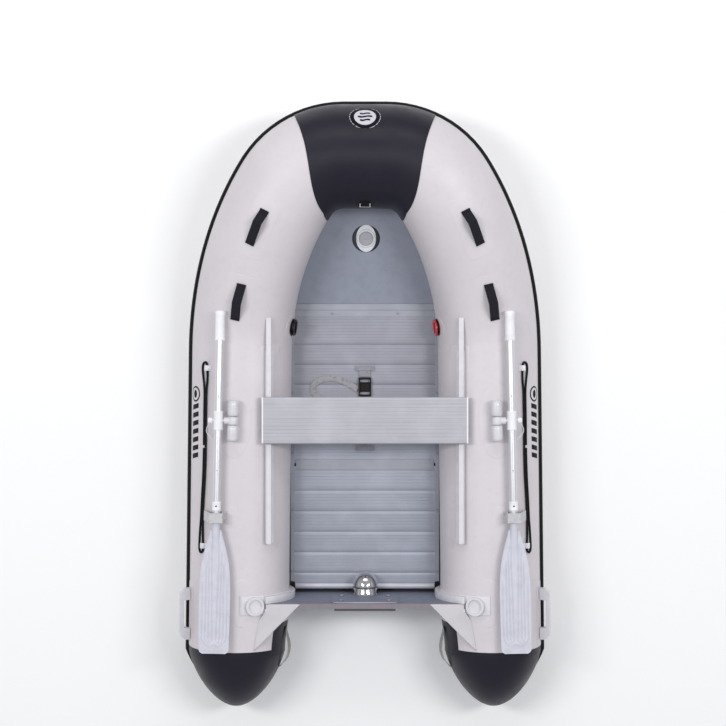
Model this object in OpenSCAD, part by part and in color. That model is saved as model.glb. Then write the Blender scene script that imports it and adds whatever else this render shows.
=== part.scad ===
// Inflatable dinghy with an aluminium floor, a sliding bench and two stowed oars.
// +X is starboard, +Y is the bow and +Z is up; the origin is under the middle, on the ground.

/* [Hull] */
// Overall length, stern cone tips to bow strake
hull_length = 2500; // [2480:10:2600]
// Diameter of the air tubes
tube_d = 416; // [410:1:420]
// Distance from the middle line to a tube's axis at the stern tips
stern_half_track = 531; // [528:1:540]
// Angle by which each side tube runs in towards the bow
splay = 0.62; // [0.5:0.01:0.8]
// Plan radius of the long side curve, on the tube axis
side_curve_r = 1240; // [1220:1:1260]
// Angle turned by the long side curve
side_curve_angle = 32.4; // [32:0.1:33]
// Plan radius of the tight bow curve, on the tube axis
bow_curve_r = 272; // [270:1:280]
// Height by which the bow tube rises above the side tubes
bow_rise = 190; // [180:1:200]
// Place along the boat where the tubes start to rise
rise_start_y = 250; // [250:1:280]
// Length of the tapered stern cones
cone_length = 240; // [230:1:250]
// Facets round each tube
tube_facets = 32; // [24:4:40]

/* [Trim] */
// How far the rubbing strake stands off the tube
strake_proud = 16; // [12:1:18]
// Height of the rubbing strake
strake_height = 44; // [36:1:50]
// Thickness of the glued covers and patches
patch_t = 1.6; // [1.2:0.1:2]

/* [Floor] */
// Height of the floor's top face above the ground
floor_top = 100; // [98:1:102]
// Thickness of the hollow floor slats
slat_t = 14; // [12:1:15]
// Spacing of the slats along the boat
slat_pitch = 88; // [84:1:90]
// Half width of the floor panels
panel_half_w = 312; // [308:1:313]
// Fore end of the floor panels
panel_fore_y = 404; // [400:1:406]
// Aft end of the floor panels
panel_aft_y = -760; // [-764:1:-756]
// Upward tilt of the bow board
bow_board_tilt = 14; // [13:0.5:15]

/* [Transom] */
// Place of the transom's fore face
transom_y = -793; // [-796:1:-790]
// Thickness of the transom board
transom_t = 21; // [20:1:23]
// Height of the transom's top edge above the ground
transom_top = 392; // [385:1:395]

/* [Seat] */
// Length of the bench across the boat
seat_w = 834; // [820:1:836]
// Depth of the bench along the boat
seat_depth = 188; // [180:1:195]
// Height of the bench's underside above the ground
seat_z = 417; // [416:1:420]
// Place of the bench's middle along the boat
seat_y = -45; // [-60:1:-30]
// Distance from the middle line to each seat track
track_x = 391; // [389:1:393]
// Fore end of the seat tracks
track_fore_y = 371; // [360:1:372]
// Aft end of the seat tracks
track_aft_y = -548; // [-560:1:-540]

/* [Oars] */
// Length of each oar
oar_length = 1383; // [1370:1:1390]
// Diameter of the oar shaft
shaft_d = 32; // [30:1:33]
// Diameter of the oar grip
grip_d = 41; // [38:1:42]
// Width of the oar blade
blade_w = 123; // [115:1:124]
// Height of the oar axis above the ground
oar_z = 455; // [454:1:457]
// Distance from the tube axis to the oar axis, outboard
oar_offset = 73; // [71:1:74]
// Angle in plan by which each stowed oar runs in towards the bow
oar_angle = 1.17; // [1:0.01:1.3]
// Place of the oarlock pin along the boat
pin_y = -46; // [-50:1:-42]
// Diameter of the oarlock pin
pin_d = 12; // [11:1:13]

/* [Lines] */
// Diameter of the side grab lines
line_d = 9; // [8:0.5:9]
// Diameter of the knob lanyards
lanyard_d = 3; // [2.5:0.5:3]

/* [Hidden] */
$fn = 48;

tube_r = tube_d / 2;
bow_y = hull_length / 2 - strake_proud - tube_r;
stern_y = -hull_length / 2;
h1 = splay + side_curve_angle;
arc_y = bow_y - side_curve_r * (sin(h1) - sin(splay)) - bow_curve_r * (1 - sin(h1));
l1 = (arc_y - stern_y) / cos(splay);
l2 = l1 + side_curve_r * side_curve_angle * PI / 180;
l3 = l2 + bow_curve_r * (90 - h1) * PI / 180;
p1 = [stern_half_track - sin(splay) * l1, arc_y];
c1 = p1 - side_curve_r * [cos(splay), sin(splay)];
p2 = c1 + side_curve_r * [cos(h1), sin(h1)];
c2 = p2 - bow_curve_r * [cos(h1), sin(h1)];
l4 = l3 + c2[0];
cone_s = cone_length;
rise_span = bow_y - rise_start_y;
gap = 0.6;

// How much thinner the tube is towards its stern end, all of it on the inboard side
stern_slim = 8;
function slim(s) = stern_slim * smooth(clamp01((420 - s) / (420 - cone_s)));

// The tube axis on the starboard side, as functions of the distance s along it from the stern tip
function smooth(w) = w * w * (3 - 2 * w);
function clamp01(w) = min(1, max(0, w));
function heading(s) = s < l1 ? splay
    : s < l2 ? splay + (s - l1) / side_curve_r * 180 / PI
    : s < l3 ? h1 + (s - l2) / bow_curve_r * 180 / PI : 90;
function plan(s) = s < l1 ? [stern_half_track - sin(splay) * s + slim(s), stern_y + cos(splay) * s]
    : s < l2 ? c1 + side_curve_r * [cos(heading(s)), sin(heading(s))]
    : s < l3 ? c2 + bow_curve_r * [cos(heading(s)), sin(heading(s))]
    : [c2[0] - (s - l3), bow_y];
function rise_w(s) = clamp01((plan(s)[1] - rise_start_y) / rise_span);
function axis_z(s) = tube_r + bow_rise * smooth(rise_w(s));
function pitch(s) = atan(bow_rise * 6 * rise_w(s) * (1 - rise_w(s)) / rise_span * cos(heading(s)));
function axis_pt(s) = [plan(s)[0], plan(s)[1], axis_z(s)];
function out_dir(s) = [cos(heading(s)), sin(heading(s)), 0];
function along(s) = [-sin(heading(s)) * cos(pitch(s)), cos(heading(s)) * cos(pitch(s)), sin(pitch(s))];
function up_dir(s) = [sin(heading(s)) * sin(pitch(s)), -cos(heading(s)) * sin(pitch(s)), cos(pitch(s))];
// A point at angle a round the tube (0 outboard, 90 on top, 180 inboard) and distance r from its axis
function normal_dir(s, a) = cos(a) * out_dir(s) + sin(a) * up_dir(s);
function tube_pt(s, a, r) = axis_pt(s) + (r - slim(s)) * normal_dir(s, a);
// Distance along the axis of a place y along the boat
function s_at(y) = y < arc_y ? (y - stern_y) / cos(splay)
    : l1 + side_curve_r * (asin((y - c1[1]) / side_curve_r) - splay) * PI / 180;
function mirrored(p) = [-p[0], p[1], p[2]];
// Radius of a stern cone, t along it from its wide end
function cone_r(t) = (tube_r - stern_slim) * pow(1 - pow(t / cone_length, 1.35), 0.55);

// A closed solid through rings of points, each ring seen anticlockwise from its end of the row
module skin(rings) {
    n = len(rings[0]);
    m = len(rings);
    sides = [for (j = [0:m - 2], i = [0:n - 1])
        [j * n + i, (j + 1) * n + i, (j + 1) * n + (i + 1) % n, j * n + (i + 1) % n]];
    polyhedron(concat_all(rings), concat([[for (i = [0:n - 1]) i]],
        [[for (i = [n - 1:-1:0]) (m - 1) * n + i]], sides));
}
function concat_all(lists) = [for (l = lists) each l];

// A shell between two grids of points of the same size
module shell(top, under) {
    rows = len(top);
    cols = len(top[0]);
    n = rows * cols;
    function at(i, j) = i * cols + j;
    upper = [for (i = [0:rows - 2], j = [0:cols - 2]) each
        [[at(i, j), at(i + 1, j), at(i + 1, j + 1)], [at(i, j), at(i + 1, j + 1), at(i, j + 1)]]];
    lower = [for (f = upper) [n + f[2], n + f[1], n + f[0]]];
    rim = concat([for (j = [0:cols - 1]) at(0, j)], [for (i = [1:rows - 1]) at(i, cols - 1)],
        [for (j = [cols - 2:-1:0]) at(rows - 1, j)], [for (i = [rows - 2:-1:1]) at(i, 0)]);
    k = len(rim);
    edge = [for (i = [0:k - 1]) each [[rim[i], rim[(i + 1) % k], n + rim[(i + 1) % k]],
        [rim[i], n + rim[(i + 1) % k], n + rim[i]]]];
    polyhedron(concat(concat_all(top), concat_all(under)), concat(upper, lower, edge));
}

// Puts children on the starboard tube: local +Z is the outward normal, +Y runs towards the bow
module on_tube(s, a, r) {
    z = normal_dir(s, a);
    y = along(s);
    x = cross(y, z);
    p = tube_pt(s, a, r);
    multmatrix([[x[0], y[0], z[0], p[0]], [x[1], y[1], z[1], p[1]], [x[2], y[2], z[2], p[2]], [0, 0, 0, 1]])
        children();
}

module both_sides() {
    children();
    mirror([1, 0, 0]) children();
}

// A cord swept along points, n sides
module cord_sweep(pts, d, n) {
    m = len(pts);
    function dir(i) = let (v = pts[min(m - 1, i + 1)] - pts[max(0, i - 1)]) v / norm(v);
    function side(i) = let (v = cross(dir(i), [0.05, 0.1, 1])) v / norm(v);
    skin([for (i = [0:m - 1]) let (u = side(i), w = cross(u, dir(i)))
        [for (k = [0:n - 1]) pts[i] + d / 2 * (cos(k * 360 / n) * u + sin(k * 360 / n) * w)]]);
}

// Smooth points through a list of hand-chosen ones, k steps between neighbours
function blend4(a, b, c, d, t) = 0.5 * (2 * b + (c - a) * t + (2 * a - 5 * b + 4 * c - d) * t * t
    + (3 * b - a - 3 * c + d) * t * t * t);
function smooth_route(p, k) = let (m = len(p) - 1)
    concat([for (i = [0:m - 1], j = [0:k - 1]) blend4(p[max(0, i - 1)], p[i], p[i + 1],
        p[min(m, i + 2)], j / k)], [p[m]]);

// ---------- hull ----------
module side_tube() {
    stations = concat([for (i = [0:8]) cone_s + 0.3 + i * 22.5], [700, l1 - 150],
        [for (i = [0:14]) s_at(rise_start_y) + i * (l2 - s_at(rise_start_y)) / 15],
        [for (i = [0:8]) l2 + i * (l3 - l2) / 9], [l3, l4 - 1.5]);
    skin([for (s = stations) [for (k = [0:tube_facets - 1]) tube_pt(s, k * 360 / tube_facets, tube_r)]]);
}
module tube_starboard() { color([0.80, 0.79, 0.81]) side_tube(); }
module tube_port() { color([0.80, 0.79, 0.81]) mirror([1, 0, 0]) side_tube(); }
module bow_baffle() {
    color([0.7, 0.7, 0.7]) translate([-1, bow_y, axis_z(l4)]) rotate([0, 90, 0])
        cylinder(r = tube_r - 8, h = 2);
}

module stern_cone() {
    outline = concat([[0, 0]], [for (i = [0:13]) let (t = cone_length * sin(i * 90 / 13)) [cone_r(t), t]],
        [[0, cone_length]]);
    p = axis_pt(cone_s);
    translate(p) rotate([0, 0, splay]) rotate([90, 0, 0])
        rotate_extrude($fn = 64) polygon([for (q = outline) [max(0, q[0]), q[1]]]);
}
module stern_cones() { color([0.13, 0.13, 0.18]) both_sides() stern_cone(); }

// Half width of the bow cover along the axis at angle a, from a seam that sweeps in over the top
cover_seam_out = 24.6;
cover_seam_in = 38.4;
cover_r = tube_r + 1.6;
function cover_s(a) = l3 - cover_phi(a) * bow_curve_r * PI / 180;
function cover_phi(a) = cover_seam_out + cover_seam_in * pow((1 - cos(a)) / 2, 3);
function cover_pt(u, a, r) = let (q = u * (l4 - cover_s(a))) q < 0 ? mirrored(tube_pt(l4 + q, a, r))
    : tube_pt(l4 - q, a, r);
module bow_cover() {
    angles = [for (i = [0:16]) 8 + i * (176 - 8) / 16];
    steps = [for (j = [-9:9]) j / 9];
    grid = [for (r = [cover_r + patch_t, cover_r]) [for (a = angles) [for (u = steps) cover_pt(u, a, r)]]];
    color([0.13, 0.13, 0.19]) shell(grid[0], grid[1]);
}

bow_ring_a = 158;
module bow_ring_patch() {
    color([0.1, 0.1, 0.12]) on_tube(l4, bow_ring_a, cover_r + patch_t + 0.8) {
        difference() {
            translate([-16, -17, 0]) cube([32, 34, 9.5]);
            translate([0, 0, 5.4]) rotate([90, 0, 0]) cylinder(r = 2.6, h = 40, center = true);
        }
    }
}
module bow_ring() {
    color([0.93, 0.93, 0.95]) on_tube(l4, bow_ring_a, cover_r + patch_t + 6.2) {
        rotate([90, 0, 0]) cylinder(r = 2, h = 44, center = true);
        for (k = [-1, 1]) translate([-11, k * 20, 0]) rotate([0, 90, 0]) cylinder(r = 2, h = 22, center = true);
        translate([-22, 0, 0]) rotate([90, 0, 0]) cylinder(r = 2, h = 44, center = true);
    }
}

function strake_section() = let (v = strake_height / 2, p = strake_proud)
    [[1, -v], [p * 0.55, -v * 0.9], [p, -v * 0.4], [p, v * 0.4], [p * 0.55, v * 0.9], [1, v]];
// The strake runs on along each stern cone and fades out there
strake_tail = 84;
function strake_share(s) = clamp01(1 - (cone_s - s) / strake_tail);
function skin_r(s) = s < cone_s ? cone_r(cone_s - s) : tube_r - slim(s);
module rub_strake() {
    stations = concat([for (i = [0:7]) cone_s - strake_tail * 0.95 + i * 10], [for (i = [0:4]) cone_s + i * 45],
        [for (i = [1:3]) 420 + i * (l1 - 420) / 4],
        [for (i = [0:17]) l1 + i * (l2 - l1) / 18], [for (i = [0:12]) l2 + i * (l3 - l2) / 13], [l3, l4]);
    function ring(s) = let (k = strake_share(s)) [for (q = strake_section())
        axis_pt(s) + (skin_r(s) + 1 + (q[0] - 1) * k) * out_dir(s) + q[1] * (0.3 + 0.7 * k) * up_dir(s)];
    port = [for (s = stations) [for (p = ring(s)) mirrored(p)]];
    star = [for (i = [len(stations) - 2:-1:0]) ring(stations[i])];
    color([0.12, 0.12, 0.14]) skin(concat(port, star));
}

// ---------- bottom ----------
seam_a = 240;
seam_r = tube_r + 4;
sheet_t = 2;
keel_z = 4;
keel_rise_y = 200;
bow_seam = tube_pt(l4, seam_a, seam_r);
function keel_line(y) = keel_z + (bow_seam[2] - keel_z)
    * pow(clamp01((y - keel_rise_y) / (bow_seam[1] - keel_rise_y)), 2.4);
profile_y = 412;
profile_w = 55;
board_y0 = profile_y + profile_w / 2 + 1.5;
board_z0 = floor_top + 2;
function board_line(y) = y < board_y0 ? floor_top : board_z0 + (y - board_y0) * tan(bow_board_tilt);
module bottom_fabric() {
    stations = concat([s_at(transom_y + 2)], [s_at(-300), s_at(keel_rise_y)],
        [for (i = [1:10]) s_at(keel_rise_y) + i * (l2 - s_at(keel_rise_y)) / 10],
        [for (i = [1:7]) l2 + i * (l3 - l2) / 7]);
    us = [for (j = [-5:5]) j / 5];
    function row(s, lift) = let (e = tube_pt(s, seam_a, seam_r)) [for (u = us)
        [e[0] * u, e[1], keel_line(e[1]) + (e[2] - keel_line(e[1])) * pow(abs(u), 1.2) + lift]];
    color([0.45, 0.46, 0.5]) shell([for (s = stations) row(s, sheet_t)], [for (s = stations) row(s, 0)]);
}

keel_half_w = 82;
module keel_tube() {
    ys = concat([-742, -736, -720], [for (i = [0:3]) -700 + i * 300], [318, 386, board_y0 - 0.5],
        [for (i = [3:8]) 250 + i * 68], [815, 830, 838]);
    function size_at(y) = sqrt(max(0.02, min(1, (y + 744) / 40) * min(1, (842 - y) / 90)));
    function roof(y) = y < board_y0 ? floor_top - slat_t - 5.2
        : board_line(y) - 12 - 6 * clamp01((board_y0 + 60 - y) / 60);
    function ring(y) = let (lo = keel_line(y) + 6, hi = roof(y),
        c = (lo + hi) / 2, q = size_at(y)) [for (k = [0:19])
        [keel_half_w * q * cos(k * 18), y, c + (hi - lo) / 2 * q * sin(k * 18)]];
    color([0.6, 0.6, 0.64]) skin([for (y = ys) ring(y)]);
}

keel_valve_y = 712;
module on_board(y) {
    translate([5, y, board_line(y)]) rotate([bow_board_tilt, 0, 0]) children();
}
module keel_valve() {
    color([0.93, 0.93, 0.95]) on_board(keel_valve_y) {
        difference() {
            union() {
                translate([0, 0, -11]) cylinder(d = 100, h = 4);
                translate([0, 0, -8]) cylinder(d = 72, h = 7);
            }
            translate([0, 0, -6]) cylinder(d = 60, h = 8);
        }
    }
}
module keel_valve_cap() {
    color([0.75, 0.75, 0.78]) on_board(keel_valve_y) {
        difference() {
            translate([0, 0, -5]) cylinder(d = 57, h = 8);
            translate([-20, -3, 1]) cube([40, 6, 4]);
        }
    }
}

// ---------- floor ----------
bow_hole_d = 118;
module bow_board() {
    right = [[338, 0], [300, 180], [215, 325], [120, 410], [0, 440]];
    left = [for (i = [3:-1:0]) [-right[i][0], right[i][1]]];
    color([0.6, 0.62, 0.68]) {
        translate([0, board_y0, board_z0]) rotate([bow_board_tilt, 0, 0]) translate([0, 0, -9]) difference() {
            linear_extrude(9) offset(r = 12) offset(delta = -12) polygon(concat(right, left));
            translate([5, (keel_valve_y - board_y0) / cos(bow_board_tilt), -1])
                cylinder(d = bow_hole_d, h = 20);
        }
        // the tongue that slides into the front profile
        translate([-312, profile_y + 4, floor_top - 10]) cube([624, board_y0 + 6 - profile_y - 4, 9.4]);
    }
}

// A hollow slatted panel from y0 aft to y1, with a groove across it at each joint between slats
module slat_panel(y0, y1, joints) {
    ends = concat([y0], joints, [y1]);
    difference() {
        translate([-panel_half_w, y1, floor_top - slat_t]) cube([2 * panel_half_w, y0 - y1, slat_t]);
        for (y = joints) translate([-panel_half_w - 1, y - 1.5, floor_top - 1.6])
            cube([2 * panel_half_w + 2, 3, 3]);
        for (i = [0:len(ends) - 2]) translate([-panel_half_w - 1, ends[i + 1] + 5, floor_top - slat_t + 2.5])
            cube([2 * panel_half_w + 2, ends[i] - ends[i + 1] - 10, slat_t - 5]);
    }
}
joiner_y = [-26, -247];
module floor_panels() {
    color([0.62, 0.64, 0.7]) {
        slat_panel(panel_fore_y, joiner_y[0] + 6, [for (i = [0:3]) 266 - i * (slat_pitch - 2)]);
        slat_panel(joiner_y[0] - 6, joiner_y[1] + 6, [-136]);
        slat_panel(joiner_y[1] - 6, panel_aft_y, [for (i = [0:4]) -357 - i * slat_pitch]);
    }
}

// An H section across the boat, centred on y, with flanges of the given width
module h_profile(y, w, half_len) {
    wall = 3;
    z0 = floor_top - slat_t - 0.6;
    translate([-half_len, y, 0]) rotate([90, 0, 90]) linear_extrude(2 * half_len) {
        translate([-w / 2, floor_top + 0.6]) square([w, wall]);
        translate([-w / 2, z0 - wall]) square([w, wall]);
        translate([-2.5, z0 - 1]) square([5, slat_t + 3.2]);
    }
}
module floor_profiles() {
    color([0.72, 0.74, 0.79]) {
        difference() {
            h_profile(profile_y, profile_w, 318);
            translate([-319, profile_y - 1.5, floor_top + 2.4]) cube([638, 3, 3]);
        }
        for (y = joiner_y) h_profile(y, 44, panel_half_w - 18);
    }
}
module stringer_profile() {
    translate([0, -4.6]) square([16, 4]);
    translate([12, -4.6]) square([4, slat_t + 9.2]);
    translate([0, slat_t + 0.6]) square([16, 4]);
}
stringer_x = panel_half_w - 11;
module floor_stringers() {
    fore = profile_y - 29;
    aft = panel_aft_y + 16;
    color([0.7, 0.72, 0.78]) both_sides() translate([stringer_x, fore, floor_top - slat_t]) rotate([90, 0, 0])
        linear_extrude(fore - aft) stringer_profile();
}
bar_r = 13.5;
module floor_aft_bar() {
    color([0.9, 0.9, 0.92]) difference() {
        translate([-297, panel_aft_y - 4, floor_top - slat_t / 2]) rotate([0, 90, 0])
            cylinder(r = bar_r, h = 594);
        translate([-298, panel_aft_y - 1, floor_top - slat_t - 0.6]) cube([596, 30, slat_t + 1.2]);
    }
}
module floor_end_caps() {
    color([0.85, 0.85, 0.88]) both_sides()
        translate([319, profile_y - 28, floor_top - slat_t - 4]) cube([9, 56, slat_t + 8.6]);
    color([0.08, 0.08, 0.09]) both_sides() translate([299, panel_aft_y - 20, floor_top - slat_t - 6])
        difference() {
            cube([14, 34, slat_t + 12]);
            translate([-1, 12, 4]) cube([16, 30, slat_t + 4]);
        }
}
module screw_head(r, h) {
    difference() {
        cylinder(r = r, h = h);
        translate([-r * 0.7, -0.6, h - 1]) cube([r * 1.4, 1.2, 2]);
        translate([-0.6, -r * 0.7, h - 1]) cube([1.2, r * 1.4, 2]);
    }
}
module floor_screws() {
    color([0.55, 0.56, 0.6]) {
        both_sides() translate([140, profile_y - 14, floor_top + 3.7]) screw_head(6, 3);
        both_sides() for (y = [300, 60, -197, -440, -701])
            translate([stringer_x + 8, y, floor_top + 4.7]) screw_head(5, 3);
    }
}

// ---------- transom ----------
holder_r = tube_r + gap + 5;
side_axis_x = stern_half_track - sin(splay) * (transom_y - stern_y);
module transom_outline() {
    intersection() {
        translate([-460, 0]) square([920, transom_top]);
        difference() {
            polygon([[-430, transom_top], [430, transom_top], [430, 28], [330, 14], [0, 6], [-330, 14],
                [-430, 28]]);
            for (k = [-1, 1]) translate([k * side_axis_x, tube_r]) circle(r = holder_r + 1.2, $fn = 96);
            for (k = [-1, 1]) translate([k * 408 - (k < 0 ? 30 : 0), transom_top - 16]) square([30, 20]);
        }
    }
}
drain_z = 164;
bolt_x = 98;
bolt_z = [350, 232];
module transom_board() {
    color([0.5, 0.53, 0.6]) translate([0, transom_y, 0]) rotate([90, 0, 0]) difference() {
        linear_extrude(transom_t) transom_outline();
        translate([2, drain_z, -1]) cylinder(r = 22.4, h = transom_t + 2);
        for (x = [-bolt_x, bolt_x], z = bolt_z) translate([x, z, -1]) cylinder(r = 4.3, h = transom_t + 2);
    }
}
module clamp_plate(half_w, z0, thick) {
    linear_extrude(thick) difference() {
        offset(r = 8) offset(delta = -8) translate([-half_w, z0]) square([2 * half_w, transom_top - 4 - z0]);
        for (x = [-bolt_x, bolt_x], z = bolt_z) translate([x, z]) circle(r = 4.3);
    }
}
module transom_inner_plate() {
    color([0.72, 0.73, 0.76]) translate([0, transom_y + 6.3, 0]) rotate([90, 0, 0]) clamp_plate(135, 218, 6);
}
pad_t = 9;
module transom_outer_pad() {
    color([0.12, 0.12, 0.13]) translate([0, transom_y - transom_t - 0.3, 0]) rotate([90, 0, 0]) difference() {
        clamp_plate(125, 190, pad_t);
        // pockets that sink the nuts below the pad's face
        for (x = [-bolt_x, bolt_x], z = bolt_z) translate([x, z, 2]) cylinder(r = 10, h = pad_t);
    }
}
module transom_bolts() {
    nut_at = transom_t + 9.2;
    color([0.6, 0.61, 0.64]) for (x = [-bolt_x, bolt_x], z = bolt_z)
        translate([x, transom_y + 6.6, z]) rotate([90, 0, 0]) {
            cylinder(r = 4, h = nut_at + 6);
            translate([0, 0, -5]) cylinder(r = 10, h = 5);
            translate([0, 0, nut_at]) cylinder(r = 7.5, h = 5.5, $fn = 6);
        }
}
// A round bowl on the transom's inside, closed by a domed cap that turns
drain_r = 53;
bowl_depth = 32;
module drain_housing() {
    color([0.85, 0.86, 0.9]) translate([2, transom_y + 0.3, drain_z]) rotate([-90, 0, 0]) difference() {
        union() {
            cylinder(r = drain_r + 1, h = 6);
            cylinder(r1 = drain_r - 1, r2 = drain_r - 5, h = bowl_depth);
            translate([0, 0, -transom_t]) cylinder(r = 22, h = transom_t + 1);
        }
        translate([0, 0, -transom_t - 1]) cylinder(r = 17, h = 100);
    }
}
dome_depth = 64;
module drain_plug() {
    color([0.93, 0.93, 0.95]) translate([2, transom_y + 0.3, drain_z]) rotate([-90, 0, 0]) {
        translate([0, 0, 4]) cylinder(r = 16.5, h = bowl_depth);
        rotate_extrude($fn = 72) polygon(concat([[0, bowl_depth + 1]],
            [for (i = [0:12]) [drain_r * cos(i * 7.5), bowl_depth + 1 + dome_depth * sin(i * 7.5)]]));
    }
}

// A channel along the tube's inboard side that grips the transom's side edge, with a cup on top
holder_fore = 34;
holder_aft = 22;
module transom_holder() {
    base_r = tube_r + gap;
    translate([side_axis_x, transom_y, tube_r]) rotate([90, 0, 0]) {
        rotate([0, 0, 95]) rotate_extrude(angle = 133, $fn = 96)
            translate([base_r, -holder_fore]) square([5, holder_fore + transom_t + holder_aft]);
        rotate([0, 0, 122]) rotate_extrude(angle = 105, $fn = 96) {
            translate([base_r + 4, -holder_fore + 4]) square([20, holder_fore - 4.6]);
            translate([base_r + 4, transom_t + 0.6]) square([13, 12]);
        }
        rotate([0, 0, 111]) translate([base_r + 3, 0, 8]) rotate([0, 90, 0]) difference() {
            cylinder(r = 38, h = 17);
            translate([0, 0, 7]) cylinder(r = 28, h = 20);
        }
    }
}
module transom_holders() { color([0.78, 0.78, 0.8]) both_sides() transom_holder(); }

// Triangular webs from the transom's top corners to the tube tops
module transom_webs() {
    z0 = transom_top + 2;
    y0 = transom_y - transom_t - 28;
    e1 = tube_pt(s_at(y0 - 20), 119, tube_r + 2);
    e2 = tube_pt(s_at(-1000), 113, tube_r + 2);
    low = [[266, transom_y - 2, z0], [374, transom_y - 2, z0], [374, y0 + 20, z0 + 1], e1, e2];
    color([0.78, 0.78, 0.8]) both_sides() hull() for (p = low) translate(p) cylinder(r = 1, h = 2.5, $fn = 8);
}

// ---------- seat ----------
module seat_bench() {
    t = 28;
    w = seat_w / 2 - 6;
    ribs = 11;
    color([0.7, 0.71, 0.76]) translate([-w, seat_y, seat_z]) rotate([90, 0, 90]) linear_extrude(2 * w)
        difference() {
            translate([-seat_depth / 2, 0]) offset(r = 4) offset(delta = -4) square([seat_depth, t]);
            for (i = [0:3]) translate([-seat_depth / 2 + 4 + i * 45.5, 3]) square([42.5, t - 6]);
            for (i = [0:ribs]) translate([-seat_depth / 2 + 12 + i * (seat_depth - 25) / ribs, t - 1])
                square([1.6, 2]);
        }
}
module seat_end_caps() {
    color([0.9, 0.9, 0.92]) both_sides() translate([seat_w / 2 - 6, seat_y, seat_z]) rotate([90, 0, 90])
        linear_extrude(6) translate([-seat_depth / 2, 0]) offset(r = 5) offset(delta = -5)
            square([seat_depth, 28]);
}
track_head_z = seat_z - 5;
track_glue_y = 238;
module seat_sliders() {
    color([0.25, 0.25, 0.27]) both_sides() for (y = [seat_y + 55, seat_y - 55])
        translate([track_x, y + 20, track_head_z]) rotate([90, 0, 0]) linear_extrude(40) difference() {
            translate([-17, -10.5]) square([34, 15.5]);
            translate([-12.5, -6.5]) square([25, 8.5]);
            translate([-6, -12]) square([12, 8]);
        }
}
module seat_tracks() {
    reach = track_fore_y - track_aft_y;
    glued = track_glue_y - track_aft_y;
    color([0.9, 0.9, 0.88]) both_sides() translate([track_x, track_fore_y, 0]) rotate([90, 0, 0]) {
        linear_extrude(reach) {
            translate([-10, track_head_z - 4.5]) square([20, 4.5]);
            translate([-2.5, track_head_z - 8]) square([5, 6]);
        }
        // the foot, glued to the level stretch of the tube
        translate([0, 0, reach - glued]) linear_extrude(glued) {
            translate([-2.5, 382]) square([5, track_head_z - 384]);
            polygon([[-19, 370], [-16, 366.5], [17, 389], [14, 391], [-2, 384]]);
        }
    }
}

// ---------- fittings ----------
valve_y = 366;
valve_a = 170;
module tube_valves() {
    color([0.12, 0.12, 0.13]) both_sides() on_tube(s_at(valve_y), valve_a, tube_r + 2) difference() {
        union() {
            cylinder(d = 72, h = 3);
            cylinder(d = 56, h = 7);
        }
        translate([0, 0, 2]) cylinder(d = 38, h = 8);
    }
}
module valve_cap() {
    on_tube(s_at(valve_y), valve_a, tube_r + 2) {
        translate([0, 0, 3]) cylinder(d = 36, h = 5);
        translate([0, 0, 8]) cylinder(d = 68, h = 6);
        translate([-3, -24, 14]) cube([6, 48, 4]);
    }
}
module valve_cap_starboard() { color([0.75, 0.1, 0.12]) valve_cap(); }
module valve_cap_port() { color([0.1, 0.1, 0.11]) mirror([1, 0, 0]) valve_cap(); }

// An arched handle with flat feet; its length runs along local Y
module arch_handle(length, width, height, slot, thick) {
    rotate([90, 0, 90]) linear_extrude(width, center = true) difference() {
        union() {
            translate([-length / 2, 0]) square([length, 4]);
            polygon([[-length / 2 + 12, 0], [-slot / 2, height], [slot / 2, height], [length / 2 - 12, 0]]);
        }
        polygon([[-slot / 2 - 6, -1], [-slot / 2 - 6, 2], [-slot / 2 + 4, height - thick],
            [slot / 2 - 4, height - thick], [slot / 2 + 6, 2], [slot / 2 + 6, -1]]);
    }
}
// Place along the boat, angle round the tube and lift above it
handle_spots = [[771, 86, 1], [491, 87, 5]];
module carry_handles() {
    color([0.1, 0.1, 0.12]) both_sides() for (q = handle_spots)
        on_tube(s_at(q[0]), q[1], tube_r + q[2]) arch_handle(150, 38, 42, 76, 7);
}
stern_handle_y = -855;
stern_handle_a = 17;
module stern_handles() {
    color([0.7, 0.7, 0.73]) both_sides() on_tube(s_at(stern_handle_y), stern_handle_a, tube_r + 3)
        rotate([90, 0, 90]) linear_extrude(34, center = true) difference() {
            offset(r = 14) offset(delta = -14)
                polygon([[-106, -14], [-106, 22], [-88, 40], [88, 40], [106, 22], [106, -14]]);
            translate([-110, -20]) square([220, 20]);
            polygon([[-60, -1], [-56, 26], [56, 26], [60, -1]]);
        }
}
// Webbing grab loops on the inboard side of the stern, chosen points in plan
loop_route = [[326, -911], [324, -927], [317, -955], [311, -985], [312, -1015], [321, -1042], [339, -1064],
    [357, -1080]];
module stern_loops() {
    pts = smooth_route([for (i = [0:7]) [loop_route[i][0], loop_route[i][1], 268 - i * 3]], 2);
    m = len(pts);
    function inward(i) = let (v = pts[min(m - 1, i + 1)] - pts[max(0, i - 1)])
        [v[1], -v[0], 0] / norm([v[0], v[1]]);
    // the band leans over between its two glued ends
    function rise(i) = let (k = sin(i * 180 / (m - 1))) -11 * k * inward(i) + [0, 0, 25 - 3 * k];
    color([0.75, 0.75, 0.78]) both_sides() translate([0, 0, -25]) skin([for (i = [m - 1:-1:0])
        let (p = pts[i], n = inward(i) * 1.4, u = rise(i)) [p + n, p + n + u, p - n + u, p - n]]);
}

// Webbing that ties a fuel tank down on the floor
strap_w = 49;
strap_z = floor_top + 5;
strap_fore_y = 160;
strap_aft_y = -170;
buckle_y = 85;
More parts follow.
